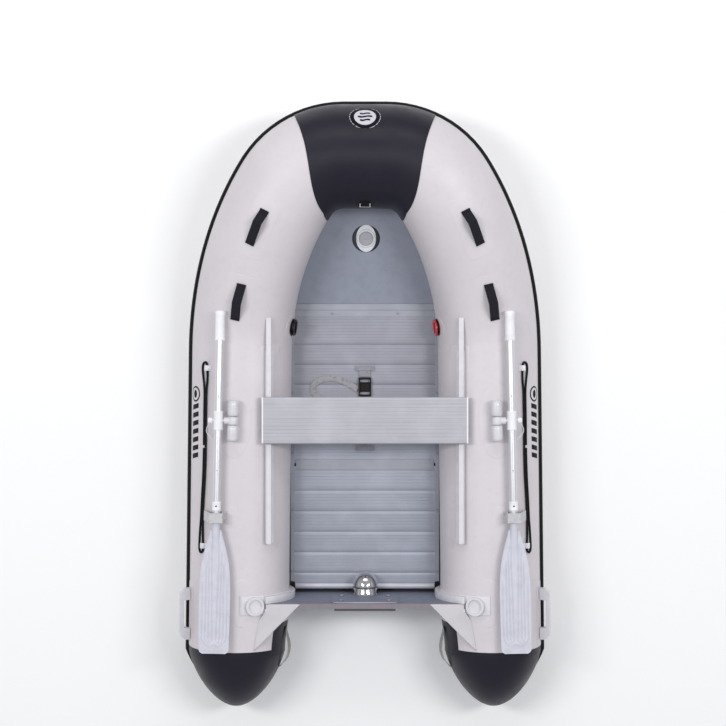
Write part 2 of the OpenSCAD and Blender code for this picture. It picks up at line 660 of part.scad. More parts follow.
// Loose tail of the strap, lying on the floor
tail_route = [[-30, 72], [-60, 92], [-100, 112], [-150, 122], [-195, 112], [-222, 84], [-212, 50], [-180, 30],
    [-140, 14]];
module strap_band(pts, w) {
    m = len(pts);
    function nrm(i) = let (v = pts[min(m - 1, i + 1)] - pts[max(0, i - 1)])
        [-v[1], v[0], 0] / norm([v[0], v[1]]);
    skin([for (i = [0:m - 1]) [pts[i] + nrm(i) * w / 2, pts[i] + nrm(i) * w / 2 + [0, 0, 2],
        pts[i] - nrm(i) * w / 2 + [0, 0, 2], pts[i] - nrm(i) * w / 2]]);
}
module tank_strap() {
    color([0.5, 0.51, 0.55]) {
        translate([-strap_w / 2, strap_aft_y, strap_z]) cube([strap_w, buckle_y - 40.5 - strap_aft_y, 2]);
        translate([-strap_w / 2, buckle_y + 40.5, strap_z]) cube([strap_w, strap_fore_y - buckle_y - 40.5, 2]);
        strap_band(smooth_route([for (p = tail_route) [p[0], p[1], strap_z - 2]], 3), 25);
    }
}
module tank_strap_loops() {
    color([0.15, 0.15, 0.16]) for (y = [strap_fore_y + 6, strap_aft_y - 6]) translate([0, y, floor_top + 0.4]) {
        difference() {
            translate([-40, -11, 0]) cube([80, 22, 9.4]);
            translate([-27, -20, 3.4]) cube([54, 40, 4.4]);
        }
        for (x = [-33.5, 33.5]) translate([x, 0, 9.4]) screw_head(5, 3);
    }
}
module strap_buckle() {
    color([0.08, 0.08, 0.09]) translate([0, buckle_y, strap_z + 2.6]) difference() {
        translate([-27, -40, -2.2]) cube([54, 80, 12]);
        translate([-21, -32, -3]) cube([42, 12, 14]);
        translate([-21, 20, -3]) cube([42, 12, 14]);
        translate([-20, -18, 4]) cube([40, 36, 10]);
    }
}
module buckle_lever() {
    color([0.12, 0.12, 0.13]) translate([0, buckle_y, strap_z + 2.6]) {
        translate([-18, -16, 5]) cube([36, 28, 5]);
        translate([-18, 13, 7.5]) rotate([0, 90, 0]) cylinder(r = 2.5, h = 36);
        translate([-18, 11, 5]) cube([36, 2.5, 5]);
    }
}

// ---------- side grab lines ----------
// Each line is a loop; its points are [place along the boat, angle round the tube], chosen by hand
line_route = [[-150, 49.6], [-60, 49.5], [20, 49.6], [70, 49.6], [105, 48.6], [135, 47.2], [160, 46.2],
    [180, 47], [189, 49.8], [184, 52.6], [172, 53.3], [158, 53.5], [140, 53.9], [110, 53.6], [75, 52.6],
    [20, 52.3], [-60, 52.2], [-170, 52.3], [-270, 51.6], [-370, 49.9], [-450, 49], [-500, 49.1], [-545, 49.6],
    [-572, 49.9], [-584, 48.8], [-589, 46.7], [-584, 44.6], [-568, 43.6], [-530, 44], [-490, 44.9],
    [-455, 45.9], [-370, 47.2], [-270, 48.9], [-161, 49.6]];
function line_pts() = smooth_route([for (q = line_route)
    tube_pt(s_at(q[0]), q[1], tube_r + line_d / 2 + 1.6)], 2);
module side_line_starboard() { color([0.1, 0.1, 0.11]) cord_sweep(line_pts(), line_d, 8); }
module side_line_port() {
    color([0.1, 0.1, 0.11]) cord_sweep([for (p = line_pts()) mirrored(p)], line_d, 8);
}
holder_spots = [[165, 53.4], [-560, 49.75]];
module side_line_holders() {
    color([0.92, 0.92, 0.94]) both_sides() for (q = holder_spots)
        on_tube(s_at(q[0]), q[1], tube_r + 1.2) rotate([90, 0, 0]) linear_extrude(22, center = true)
            difference() {
                union() {
                    translate([-16.5, 0]) square([33, 3]);
                    intersection() {
                        translate([0, 5]) circle(r = 11.5);
                        translate([-12, 0]) square([24, 20]);
                    }
                }
                translate([0, 5]) circle(r = 8);
                translate([-8, -6]) square([16, 11]);
            }
}

// ---------- oars ----------
// Local frame of the starboard oar: origin on the pin, +Y towards the grip, +X outboard, +Z up
pin_s = s_at(pin_y);
barrel_offset = 13;
module oar_frame() {
    p = axis_pt(pin_s);
    translate([p[0], p[1], oar_z]) rotate([0, 0, oar_angle]) children();
}
base_z = tube_r * 2 + 2 - oar_z;
module oarlock_bases() {
    color([0.85, 0.85, 0.87]) both_sides() oar_frame() translate([barrel_offset, 0, 0]) {
        difference() {
            translate([-30, -88, base_z]) cube([52, 176, 4]);
            translate([-31, -17, base_z - 1]) cube([54, 34, 8]);
        }
        for (k = [-1, 1]) difference() {
            union() {
                translate([0, k * 50, 0]) rotate([90, 0, 0]) cylinder(r = 24, h = 64, center = true);
                translate([-14, k * 50 - 32, base_z + 3]) cube([28, 64, -base_z - 5]);
            }
            translate([0, k * 50, 0]) rotate([90, 0, 0]) cylinder(r = 8.5, h = 70, center = true);
        }
    }
}
module oarlock_pin() {
    oar_frame() translate([barrel_offset, 0, 0]) {
        rotate([90, 0, 0]) cylinder(r = 8, h = 158, center = true);
        rotate([90, 0, 0]) cylinder(r = 20, h = 30, center = true);
        rotate([0, 90, 0]) cylinder(r = 13.5, h = 36);
        rotate([0, 90, 0]) cylinder(d = pin_d, h = 92);
    }
}
module oarlock_pin_starboard() { color([0.78, 0.78, 0.8]) oarlock_pin(); }
module oarlock_pin_port() { color([0.78, 0.78, 0.8]) mirror([1, 0, 0]) oarlock_pin(); }
module knob() {
    oar_frame() translate([barrel_offset + 84, 0, 0]) rotate([0, 90, 0]) difference() {
        cylinder(r = 11.5, h = 17);
        translate([0, 0, -1]) cylinder(d = pin_d + 0.6, h = 10);
    }
}
module knob_starboard() { color([0.93, 0.93, 0.95]) knob(); }
module knob_port() { color([0.93, 0.93, 0.95]) mirror([1, 0, 0]) knob(); }

// Cord that keeps the knob with the oar, in the oar's frame, its points chosen by hand
lanyard_route = [[106, -9, -10], [111, -15, -17], [118, -24, -27], [123, -35, -34], [123, -48, -37],
    [116, -60, -34], [107, -69, -27], [99, -75, -18], [94, -79, -9], [91.6, -80, -1]];
module lanyard() {
    oar_frame() cord_sweep(smooth_route(lanyard_route, 2), lanyard_d, 8);
}
module lanyard_starboard() { color([0.88, 0.88, 0.9]) lanyard(); }
module lanyard_port() { color([0.88, 0.88, 0.9]) mirror([1, 0, 0]) lanyard(); }

grip_len = 121;
grip_end = 443;
blade_start = -410;
blade_tip = grip_end - oar_length;
module blade_outline() {
    w = blade_w / 2;
    neck = 15;
    offset(r = 16) offset(delta = -16) polygon([[-neck, blade_start - 20], [-neck - 10, blade_start - 70],
        [-w + 16, blade_start - 160], [-w, blade_start - 230], [-w, blade_tip], [w, blade_tip],
        [w, blade_start - 230], [w - 16, blade_start - 160], [neck + 10, blade_start - 70],
        [neck, blade_start - 20]]);
}
// A round bar along the oar, from y0 back to y1
module along_oar(y0, y1, r) {
    translate([0, y0, 0]) rotate([90, 0, 0]) cylinder(r = r, h = y0 - y1);
}
module on_oar() {
    oar_frame() translate([oar_offset, 0, 0]) difference() {
        children();
        rotate([0, 90, 0]) cylinder(d = pin_d + 1, h = 60, center = true);
    }
}
shaft_r = shaft_d / 2;
shaft_bore = shaft_r - 2;
shaft_end = grip_end - 8;
module oar_shaft() {
    on_oar() difference() {
        union() {
            along_oar(shaft_end, blade_start, shaft_r);
            along_oar(-326, -362, 18.5);
        }
        along_oar(shaft_end + 1, blade_start - 1, shaft_bore);
    }
}
module oar_shaft_starboard() { color([0.7, 0.71, 0.75]) oar_shaft(); }
module oar_shaft_port() { color([0.7, 0.71, 0.75]) mirror([1, 0, 0]) oar_shaft(); }

// The grip on the shaft's end and the collar that the pin goes through
module oar_grip() {
    on_oar() {
        difference() {
            along_oar(grip_end, grip_end - grip_len, grip_d / 2);
            along_oar(shaft_end + 1, grip_end - grip_len - 1, shaft_r + 0.4);
        }
        difference() {
            along_oar(38, -38, 19.5);
            along_oar(39, -39, shaft_r + 0.4);
        }
    }
}
module oar_grip_starboard() { color([0.93, 0.93, 0.95]) oar_grip(); }
module oar_grip_port() { color([0.93, 0.93, 0.95]) mirror([1, 0, 0]) oar_grip(); }

module oar_blade() {
    oar_frame() translate([oar_offset, 0, 0]) {
        along_oar(blade_start + 30, blade_start - 2, shaft_bore - 0.4);
        translate([0, blade_start - 0.5, 0]) rotate([90, 0, 0]) cylinder(r1 = shaft_r, r2 = 8, h = 110);
        translate([0, 0, -3]) linear_extrude(6) blade_outline();
        for (x = [-36, -12, 12, 36]) translate([x - 2, blade_tip + 14, -5]) cube([4, 320 - abs(x) * 2, 10]);
    }
}
module oar_blade_starboard() { color([0.85, 0.86, 0.89]) oar_blade(); }
module oar_blade_port() { color([0.85, 0.86, 0.89]) mirror([1, 0, 0]) oar_blade(); }

// Strap over the oar's neck: a fixed foot and cradle inboard, and a flap that opens outboard
strap_mid = -391;
strap_wide = 44;
hinge_x = 127;
hinge_z = -74;
flap_z = 26;
module strap_slice(w) {
    translate([0, strap_mid + w / 2, 0]) rotate([90, 0, 0]) linear_extrude(w) children();
}
module oar_strap_bases() {
    color([0.6, 0.6, 0.64]) both_sides() oar_frame() {
        strap_slice(strap_wide) polygon([[34, -40.5], [60, -46], [62, -24], [84, -24], [86, -55], [100, -63.6],
            [121, -76], [120, -72.5], [101, -59.5], [89, -51], [88, -21], [58, -21], [56, -41.5], [51, -40.5],
            [50.5, 0], [48, 22], [45, 22], [47.5, 0], [48, -39], [34, -36.5]]);
    }
}
module oar_strap() {
    oar_frame() strap_slice(strap_wide - 4) {
        translate([hinge_x, hinge_z]) circle(r = 4);
        polygon([[hinge_x - 3, hinge_z + 1], [hinge_x + 2, hinge_z + 2], [99, flap_z + 3], [46, flap_z + 3],
            [46, flap_z], [96, flap_z]]);
    }
}
module oar_strap_starboard() { color([0.6, 0.6, 0.64]) oar_strap(); }
module oar_strap_port() { color([0.6, 0.6, 0.64]) mirror([1, 0, 0]) oar_strap(); }

tube_port();
tube_starboard();
bow_baffle();
stern_cones();
bow_cover();
bow_ring_patch();
bow_ring();
rub_strake();
bottom_fabric();
keel_tube();
keel_valve();
keel_valve_cap();
bow_board();
floor_profiles();
floor_panels();
floor_stringers();
floor_aft_bar();
floor_end_caps();
floor_screws();
transom_board();
transom_inner_plate();
transom_outer_pad();
transom_bolts();
transom_holders();
transom_webs();
drain_housing();
drain_plug();
seat_bench();
seat_end_caps();
seat_sliders();
seat_tracks();
tube_valves();
valve_cap_port();
valve_cap_starboard();
carry_handles();
stern_handles();
stern_loops();
tank_strap();
tank_strap_loops();
strap_buckle();
buckle_lever();
side_line_port();
side_line_starboard();
side_line_holders();
oarlock_bases();
oarlock_pin_port();
oarlock_pin_starboard();
knob_port();
knob_starboard();
lanyard_port();
lanyard_starboard();
oar_shaft_port();
oar_shaft_starboard();
oar_grip_port();
oar_grip_starboard();
oar_blade_port();
oar_blade_starboard();
oar_strap_bases();
oar_strap_port();
oar_strap_starboard();
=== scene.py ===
"""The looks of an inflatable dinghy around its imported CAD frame.

Metres and degrees. +X is starboard, +Y the bow and +Z up, as in the CAD part.
"""
import math

import bmesh
import bpy
import numpy as np
from mathutils import Matrix, Vector


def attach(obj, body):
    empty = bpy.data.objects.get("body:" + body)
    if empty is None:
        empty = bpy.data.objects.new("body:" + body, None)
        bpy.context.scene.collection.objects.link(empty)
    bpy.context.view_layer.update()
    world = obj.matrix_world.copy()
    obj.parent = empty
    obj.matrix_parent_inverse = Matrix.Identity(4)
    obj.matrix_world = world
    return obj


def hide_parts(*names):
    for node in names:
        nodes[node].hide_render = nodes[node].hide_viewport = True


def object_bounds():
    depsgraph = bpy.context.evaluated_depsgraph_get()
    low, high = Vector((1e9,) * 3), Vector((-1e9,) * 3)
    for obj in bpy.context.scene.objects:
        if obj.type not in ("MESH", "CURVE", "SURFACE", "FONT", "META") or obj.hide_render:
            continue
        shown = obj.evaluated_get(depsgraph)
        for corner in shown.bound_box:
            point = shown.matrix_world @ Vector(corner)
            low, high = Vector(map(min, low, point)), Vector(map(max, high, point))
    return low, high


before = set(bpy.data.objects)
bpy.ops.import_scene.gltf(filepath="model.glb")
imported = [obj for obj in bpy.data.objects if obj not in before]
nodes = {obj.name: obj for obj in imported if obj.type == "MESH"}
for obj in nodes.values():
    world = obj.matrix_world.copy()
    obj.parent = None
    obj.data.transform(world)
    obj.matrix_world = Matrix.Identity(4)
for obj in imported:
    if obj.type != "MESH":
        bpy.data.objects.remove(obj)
cad_lo, cad_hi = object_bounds()

# ---------- camera, lights and floor ----------

CAMERA_PLACE = (-0.008, 0.187, 6.294)
CAMERA_LENS = 71.9
CAMERA_SENSOR = 36
GROUND_SIZE, GROUND_GAP = 14, 0.0005


def make_camera():
    data = bpy.data.cameras.new("camera")
    data.lens = CAMERA_LENS
    data.sensor_width = CAMERA_SENSOR
    camera = bpy.data.objects.new("camera", data)
    camera.location = CAMERA_PLACE
    bpy.context.scene.collection.objects.link(camera)
    bpy.context.scene.camera = camera


def area_light(name, place, aim, size, power):
    data = bpy.data.lights.new(name, "AREA")
    data.shape = "RECTANGLE"
    data.size, data.size_y = size
    data.energy = power
    light = bpy.data.objects.new(name, data)
    light.location = place
    direction = Vector(aim) - Vector(place)
    light.rotation_euler = direction.to_track_quat("-Z", "Y").to_euler()
    bpy.context.scene.collection.objects.link(light)


def make_stage():
    world = bpy.data.worlds.new("studio")
    bpy.context.scene.world = world
    world.use_nodes = True
    background = world.node_tree.nodes["Background"]
    background.inputs["Color"].default_value = (0.95, 0.97, 1, 1)
    background.inputs["Strength"].default_value = 0.5
    for name, side in (("top_left", -1), ("top_right", 1)):
        area_light(name, (side * 3.1, 0.9, 6.4), (side * 0.1, 0.1, 0.2), (0.9, 2.6), 135)
    area_light("front", (0, 5.2, 4.6), (0, 0.2, 0.2), (4.5, 2.0), 74)
    bpy.context.scene.view_settings.view_transform = "Standard"


# ---------- the hull's own shape, as in the CAD part ----------

TUBE_R = 0.208
HULL_L = 2.5
STERN_HALF = 0.531
SPLAY = 0.62
SIDE_R, SIDE_TURN = 1.24, 32.4
BOW_R = 0.272
BOW_RISE, RISE_Y = 0.19, 0.25
CONE_L = 0.24
STRAKE_PROUD, STRAKE_TAIL = 0.016, 0.084
FLOOR_TOP = 0.1
TRANSOM_Y, TRANSOM_T, TRANSOM_TOP = -0.793, 0.021, 0.392
PLATE_TOP = 0.388
STERN_SLIM, SLIM_END = 0.008, 0.42
STERN_R = TUBE_R - STERN_SLIM


def sin(a):
    return math.sin(math.radians(a))


def cos(a):
    return math.cos(math.radians(a))


BOW_Y = HULL_L / 2 - STRAKE_PROUD - TUBE_R
STERN_Y = -HULL_L / 2
H1 = SPLAY + SIDE_TURN
ARC_Y = BOW_Y - SIDE_R * (sin(H1) - sin(SPLAY)) - BOW_R * (1 - sin(H1))
L1 = (ARC_Y - STERN_Y) / cos(SPLAY)
L2 = L1 + SIDE_R * math.radians(SIDE_TURN)
L3 = L2 + BOW_R * math.radians(90 - H1)
C1 = (STERN_HALF - sin(SPLAY) * L1 - SIDE_R * cos(SPLAY), ARC_Y - SIDE_R * sin(SPLAY))
C2 = (C1[0] + (SIDE_R - BOW_R) * cos(H1), C1[1] + (SIDE_R - BOW_R) * sin(H1))
L4 = L3 + C2[0]
RISE_SPAN = BOW_Y - RISE_Y


def clamp(w):
    return min(1.0, max(0.0, w))


def smooth(w):
    """A soft step from 0 to 1."""
    w = clamp(w)
    return w * w * (3 - 2 * w)


def slim(s):
    """How much slimmer the tube is at s than amidships."""
    return STERN_SLIM * smooth((SLIM_END - s) / (SLIM_END - CONE_L))


def heading(s):
    """The direction of the tube's outward normal at s, in degrees from starboard."""
    if s < L1:
        return SPLAY
    if s < L2:
        return SPLAY + math.degrees((s - L1) / SIDE_R)
    return min(90.0, H1 + math.degrees((s - L2) / BOW_R))


def plan(s):
    """The tube's axis in plan, s metres forward from the starboard cone's tip."""
    if s < L1:
        return STERN_HALF - sin(SPLAY) * s + slim(s), STERN_Y + cos(SPLAY) * s
    h = heading(s)
    if s < L2:
        return C1[0] + SIDE_R * cos(h), C1[1] + SIDE_R * sin(h)
    if s < L3:
        return C2[0] + BOW_R * cos(h), C2[1] + BOW_R * sin(h)
    return C2[0] - (s - L3), BOW_Y


def tube_frame(s):
    """The tube's axis point, and its outward, along and up directions, s along the starboard side."""
    x, y = plan(s)
    h = heading(s)
    w = clamp((y - RISE_Y) / RISE_SPAN)
    p = math.degrees(math.atan(BOW_RISE * 6 * w * (1 - w) / RISE_SPAN * cos(h)))
    return (
        Vector((x, y, TUBE_R + BOW_RISE * smooth(w))),
        Vector((cos(h), sin(h), 0)),
        Vector((-sin(h) * cos(p), cos(h) * cos(p), sin(p))),
        Vector((sin(h) * sin(p), -cos(h) * sin(p), cos(p))),
    )


def tube_pt(s, a, r):
    """A point at angle a round the tube (0 outboard, 90 on top) and r from its axis."""
    if s > L4:
        return mirrored([tube_pt(2 * L4 - s, a, r)])[0]
    axis, out, _, up = tube_frame(s)
    return axis + (out * cos(a) + up * sin(a)) * (r - slim(s))


def s_at(y):
    """The place along the starboard side whose axis lies at y."""
    if y < ARC_Y:
        return (y - STERN_Y) / cos(SPLAY)
    return L1 + SIDE_R * (math.asin((y - C1[1]) / SIDE_R) - math.radians(SPLAY))


def mirrored(points):
    return [Vector((-p.x, p.y, p.z)) for p in points]


def on_tube(s, a, r):
    """A frame on the tube: +Z is its outward normal and +Y runs towards the bow."""
    _, out, along, up = tube_frame(s)
    z = out * cos(a) + up * sin(a)
    x = along.cross(z)
    m = Matrix((x, along, z)).transposed().to_4x4()
    m.translation = tube_pt(s, a, r)
    return m


# ---------- materials ----------


def srgb(r, g, b):
    """A linear colour from its 0 to 255 screen values."""
    return tuple(((v / 255 + 0.055) / 1.055) ** 2.4 if v > 10 else v / 255 / 12.92 for v in (r, g, b))


class Look:
    """A procedural material that grows by layers of colour, roughness and bump."""

    def __init__(self, name, colour, rough, metal=0.0, **sockets):
        self.material = bpy.data.materials.new(name)
        self.material.use_nodes = True
        self.tree = self.material.node_tree
        self.shader = self.tree.nodes["Principled BSDF"]
        self.colour, self.normal = tuple(colour), None
        self.shader.inputs["Base Color"].default_value = (*colour, 1)
        self.shader.inputs["Roughness"].default_value = rough
        self.shader.inputs["Metallic"].default_value = metal
        for socket, value in sockets.items():
            self.shader.inputs[socket.replace("_", " ")].default_value = value

    def node(self, kind, **inputs):
        made = self.tree.nodes.new(kind)
        for name, value in inputs.items():
            made.inputs[name.replace("_", " ")].default_value = value
        return made

    def link(self, source, target):
        self.tree.links.new(source, target)

    def texture(self, kind, scale, stretch=(1, 1, 1), space="Object", turn=0.0, **inputs):
        """A texture's first output, at so many features to the metre."""
        place = self.node("ShaderNodeTexCoord")
        mapping = self.node("ShaderNodeMapping", Scale=stretch, Rotation=(0, 0, math.radians(turn)))
        made = self.node("ShaderNodeTex" + kind, Scale=scale, **inputs)
        self.link(place.outputs[space], mapping.inputs["Vector"])
        self.link(mapping.outputs["Vector"], made.inputs["Vector"])
        return made.outputs[0]

    def ramp(self, source, low, high, floor, top):
        made = self.node("ShaderNodeMapRange", From_Min=low, From_Max=high, To_Min=floor, To_Max=top)
        self.link(source, made.inputs["Value"])
        return made.outputs[0]

    def tint(self, source, colour, low, high, amount=1.0):
        """Mixes towards a colour where the source is high."""
        mix = self.node("ShaderNodeMix")
        mix.data_type = "RGBA"
        under, over = [socket for socket in mix.inputs if socket.type == "RGBA"]
        if isinstance(self.colour, tuple):
            under.default_value = (*self.colour, 1)
        else:
            self.link(self.colour, under)
        over.default_value = (*colour, 1)
        self.link(self.ramp(source, low, high, 0, amount), mix.inputs["Factor"])
        self.colour = [socket for socket in mix.outputs if socket.type == "RGBA"][0]
        self.link(self.colour, self.shader.inputs["Base Color"])

    def roughen(self, source, low, high):
        """Lets the roughness wander between two values."""
        self.link(self.ramp(source, 0.3, 0.7, low, high), self.shader.inputs["Roughness"])

    def bump(self, source, depth, strength):
        made = self.node("ShaderNodeBump", Strength=strength, Distance=depth)
        self.link(source, made.inputs["Height"])
        if self.normal is not None:
            self.link(self.normal, made.inputs["Normal"])
        self.normal = made.outputs[0]
        self.link(self.normal, self.shader.inputs["Normal"])


def shade(colour, k):
    return tuple(min(1.0, c * k) for c in colour)


def coated_fabric(name, colour, rough, mottle=0.04, shine=0.42):
    """PVC-coated cloth: a fine weave telegraphing through a soft plastic coat."""
    look = Look(name, colour, rough, Specular_IOR_Level=shine, Coat_Weight=0.08, Coat_Roughness=0.35)
    look.tint(look.texture("Noise", 5, Detail=3.0), shade(colour, 1 + mottle), 0.35, 0.65)
    look.tint(look.texture("Noise", 38, Detail=4.0), shade(colour, 1 - mottle), 0.5, 0.75, 0.6)
    look.roughen(look.texture("Noise", 14, Detail=5.0), rough - 0.07, rough + 0.07)
    look.bump(look.texture("Wave", 330, Distortion=0.4, Detail=1.0), 0.00006, 0.5)
    look.bump(look.texture("Wave", 330, turn=90, Distortion=0.4, Detail=1.0), 0.00006, 0.5)
    look.bump(look.texture("Noise", 7, Detail=2.0), 0.0016, 0.25)
    return look.material


def moulded(name, colour, rough, grain=900.0, depth=0.00008, **sockets):
    """Injection-moulded plastic or rubber with a fine spark-eroded grain."""
    look = Look(name, colour, rough, **sockets)
    look.tint(look.texture("Noise", 26, Detail=4.0), shade(colour, 0.9), 0.45, 0.75)
    look.roughen(look.texture("Noise", 60, Detail=5.0), rough - 0.06, rough + 0.08)
    look.bump(look.texture("Noise", grain, Detail=2.0), depth, 0.6)
    return look.material


def metal(name, colour, rough, stretch, depth, metallic, tone=0.14):
    """Metal with fine lines drawn along one direction."""
    look = Look(name, colour, rough, metallic)
    lines = look.texture("Noise", 260, stretch=stretch, Detail=6.0, Roughness=0.65)
    look.tint(lines, shade(colour, 1 - tone), 0.42, 0.7)
    look.tint(look.texture("Noise", 9, Detail=3.0), shade(colour, 1 + tone / 2), 0.45, 0.7)
    look.roughen(lines, rough - tone / 2, rough + tone / 2)
    look.bump(lines, depth, 0.7)
    return look.material


def webbing(name, colour, sheen=0.25):
    """Woven tape: ribs across and rows along, in the piece's own length and width."""
    look = Look(name, colour, 0.8, Sheen_Weight=sheen, Sheen_Roughness=0.5, Specular_IOR_Level=0.25)
    across = look.texture("Wave", 1, stretch=(210, 0, 0), space="UV", Distortion=0.6, Detail=1.0)
    rows = look.texture("Wave", 1, stretch=(0, 130, 0), space="UV", Distortion=0.5, Detail=1.0)
    # The weave's raised ribs are painted lighter, following the same wave as their bump: a painted highlight on
    # a real rib pattern.
    look.tint(across, shade(colour, 1.6), 0.55, 0.95, 0.6)
    look.tint(look.texture("Noise", 90, Detail=4.0), shade(colour, 0.7), 0.5, 0.75)
    look.bump(across, 0.0003, 0.8)
    look.bump(rows, 0.0002, 0.5)
    return look.material


def cad_webbing(name, colour):
    """Woven tape for the CAD's own straps, which have no length and width of their own."""
    look = Look(name, colour, 0.8, Sheen_Weight=0.2)
    ribs = look.texture("Wave", 110, Distortion=0.6, Detail=1.0)
    look.tint(look.texture("Noise", 80, Detail=4.0), shade(colour, 0.7), 0.5, 0.75)
    look.bump(ribs, 0.0003, 0.7)
    return look.material


MAT = {
    "tube": coated_fabric("tube_fabric", srgb(212, 206, 210), 0.46),
    "patch": coated_fabric("patch_fabric", srgb(213, 207, 211), 0.48),
    "navy": coated_fabric("navy_fabric", srgb(27, 25, 38), 0.42, 0.12, 0.26),
    "bottom": coated_fabric("bottom_fabric", srgb(150, 152, 158), 0.6),
    # The keel tube's fabric is light grey; this dark blue-grey is painted shade, for the tube seen in the
    # shadow of the bow board's opening.
    "keel": coated_fabric("keel_fabric_painted_shade", srgb(66, 68, 80), 0.6),
    # A slightly darker copy of the tube fabric for the upward-facing transom webs: painted shade, so they don't
    # read brighter than the tubes.
    "web_fabric_shaded": coated_fabric("web_fabric_shaded", srgb(203, 199, 203), 0.5),
    "black_rubber": moulded("black_rubber", srgb(15, 15, 17), 0.55, 500, 0.00015, Specular_IOR_Level=0.2),
    "white_plastic": moulded("white_plastic", srgb(236, 237, 242), 0.34, 1200, 0.00003, Coat_Weight=0.2),
    "light_plastic": moulded("light_plastic", srgb(219, 217, 222), 0.42, 900, 0.00005),
    "clear_grey": moulded("oarlock_plastic", srgb(214, 212, 217), 0.28, 900, 0.00003, Coat_Weight=0.4),
    "grey_plastic": moulded("grey_plastic", srgb(176, 176, 184), 0.4),
    "black_plastic": moulded("black_plastic", srgb(14, 14, 16), 0.4, Specular_IOR_Level=0.25),
    "red_plastic": moulded("red_plastic", srgb(185, 30, 36), 0.35, Coat_Weight=0.3),
    "blade": moulded("blade_plastic", srgb(208, 208, 219), 0.42, 1300, 0.00003, Subsurface_Weight=0.05),
    "grip": moulded("grip_plastic", srgb(240, 240, 244), 0.5, 700, 0.00015),
    "shaft": metal("shaft_aluminium", srgb(222, 222, 226), 0.34, (1, 0.02, 1), 0.000002, 0.6, 0.03),
    "floor": metal("floor_aluminium", srgb(168, 172, 184), 0.42, (0.012, 1, 1), 0.00004, 0.5),
    # A darker copy of the floor aluminium for the fore slats: painted shade.
    "floor_fore_shaded": metal("fore_floor_painted_shade", srgb(156, 157, 167), 0.42, (0.012, 1, 1), 0.00004, 0.4),
    "trim": metal("trim_aluminium", srgb(146, 146, 154), 0.42, (0.02, 1, 1), 0.00004, 0.45),
    # A lighter copy of the trim aluminium, used only as a painted highlight along the inner plate's top edge.
    "trim_highlight": metal("trim_highlight", srgb(190, 186, 205), 0.4, (0.02, 1, 1), 0.00002, 0.3),
    "profile": metal("profile_aluminium", srgb(159, 161, 171), 0.42, (0.02, 1, 1), 0.00004, 0.45),
    "bench": metal("bench_aluminium", srgb(181, 180, 188), 0.44, (0.012, 1, 1), 0.00002, 0.35),
    "bar": metal("aft_bar", srgb(205, 203, 214), 0.45, (0.02, 1, 1), 0.00002, 0.2),
    "steel": metal("steel", srgb(200, 200, 205), 0.22, (1, 1, 1), 0.00002, 1.0),
    "chrome": metal("chrome", srgb(206, 205, 208), 0.09, (1, 1, 1), 0.00001, 1.0),
    "board": moulded("bow_board", srgb(150, 155, 170), 0.46, 260, 0.00012),
    "transom": moulded("transom_board", srgb(128, 134, 150), 0.48, 180, 0.00014),
    "edge": moulded("transom_edge", srgb(134, 127, 132), 0.6, 200, 0.0002),
    "pad": moulded("outboard_pad", srgb(78, 76, 82), 0.6),
    "black_web": webbing("black_webbing", srgb(22, 22, 32), sheen=0.06),
    "grey_web": webbing("grey_webbing", srgb(150, 150, 158)),
    "pale_web": webbing("pale_webbing", srgb(158, 157, 154), sheen=0.05),
    "tail_web": webbing("tail_webbing", srgb(160, 158, 162), sheen=0.05),
    "strap_web": cad_webbing("strap_webbing", srgb(198, 196, 199)),
    "rope": webbing("black_rope", srgb(13, 13, 16), sheen=0.03),
    "cord": webbing("white_cord", srgb(232, 232, 236)),
    "emblem": moulded("emblem_light", srgb(206, 204, 214), 0.42),
    "mark": moulded("mark_dark", srgb(12, 12, 18), 0.6, Specular_IOR_Level=0.15),
}

# ---------- mesh makers ----------


def add_piece(name, verts, faces, uvs, look, body="hull", port=False, crisp=None):
    """A new object on a body; a port piece is the starboard one mirrored."""
    mesh = bpy.data.meshes.new(name)
    points = [((-p[0] if port else p[0]), p[1], p[2]) for p in verts]
    mesh.from_pydata(points, [], faces)
    layer = mesh.uv_layers.new(name="UVMap")
    layer.data.foreach_set("uv", [c for face in uvs for corner in face for c in corner])
    work = bmesh.new()
    work.from_mesh(mesh)
    bmesh.ops.recalc_face_normals(work, faces=work.faces)
    work.to_mesh(mesh)
    work.free()
    mesh.materials.append(MAT[look])
    made = bpy.data.objects.new(name, mesh)
    bpy.context.scene.collection.objects.link(made)
    mesh.polygons.foreach_set("use_smooth", [True] * len(mesh.polygons))
    if crisp:
        mesh.set_sharp_from_angle(angle=math.radians(crisp))
    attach(made, body)
    return made


def grid_data(rows, closed=False):
    """Vertices, faces and metre UVs of a grid of points, or of a closed skin round its rows."""
    p = np.array([[tuple(q) for q in row] for row in rows], float)
    m, n = p.shape[:2]
    u = np.concatenate([[0], np.cumsum(np.linalg.norm(np.diff(p.mean(1), axis=0), axis=1))])
    ring = np.concatenate([p[m // 2], p[m // 2][:1]])
    v = np.concatenate([[0], np.cumsum(np.linalg.norm(np.diff(ring, axis=0), axis=1))])
    faces, uvs = [], []
    for i in range(m - 1):
        for j in range(n if closed else n - 1):
            k = (j + 1) % n
            faces.append((i * n + j, i * n + k, (i + 1) * n + k, (i + 1) * n + j))
            uvs.append(((u[i], v[j]), (u[i], v[j + 1]), (u[i + 1], v[j + 1]), (u[i + 1], v[j])))
    if closed:
        for i in (0, m - 1):
            faces.append(tuple(i * n + j for j in range(n)))
            uvs.append(tuple((u[i], v[j]) for j in range(n)))
    return p.reshape(-1, 3), faces, uvs


def loft(name, rows, look, body="hull", port=False, crisp=None):
    """A skin through rings of points, closed at its ends."""
    verts, faces, uvs = grid_data(rows, True)
    return add_piece(name, verts, faces, uvs, look, body, port, crisp=crisp)


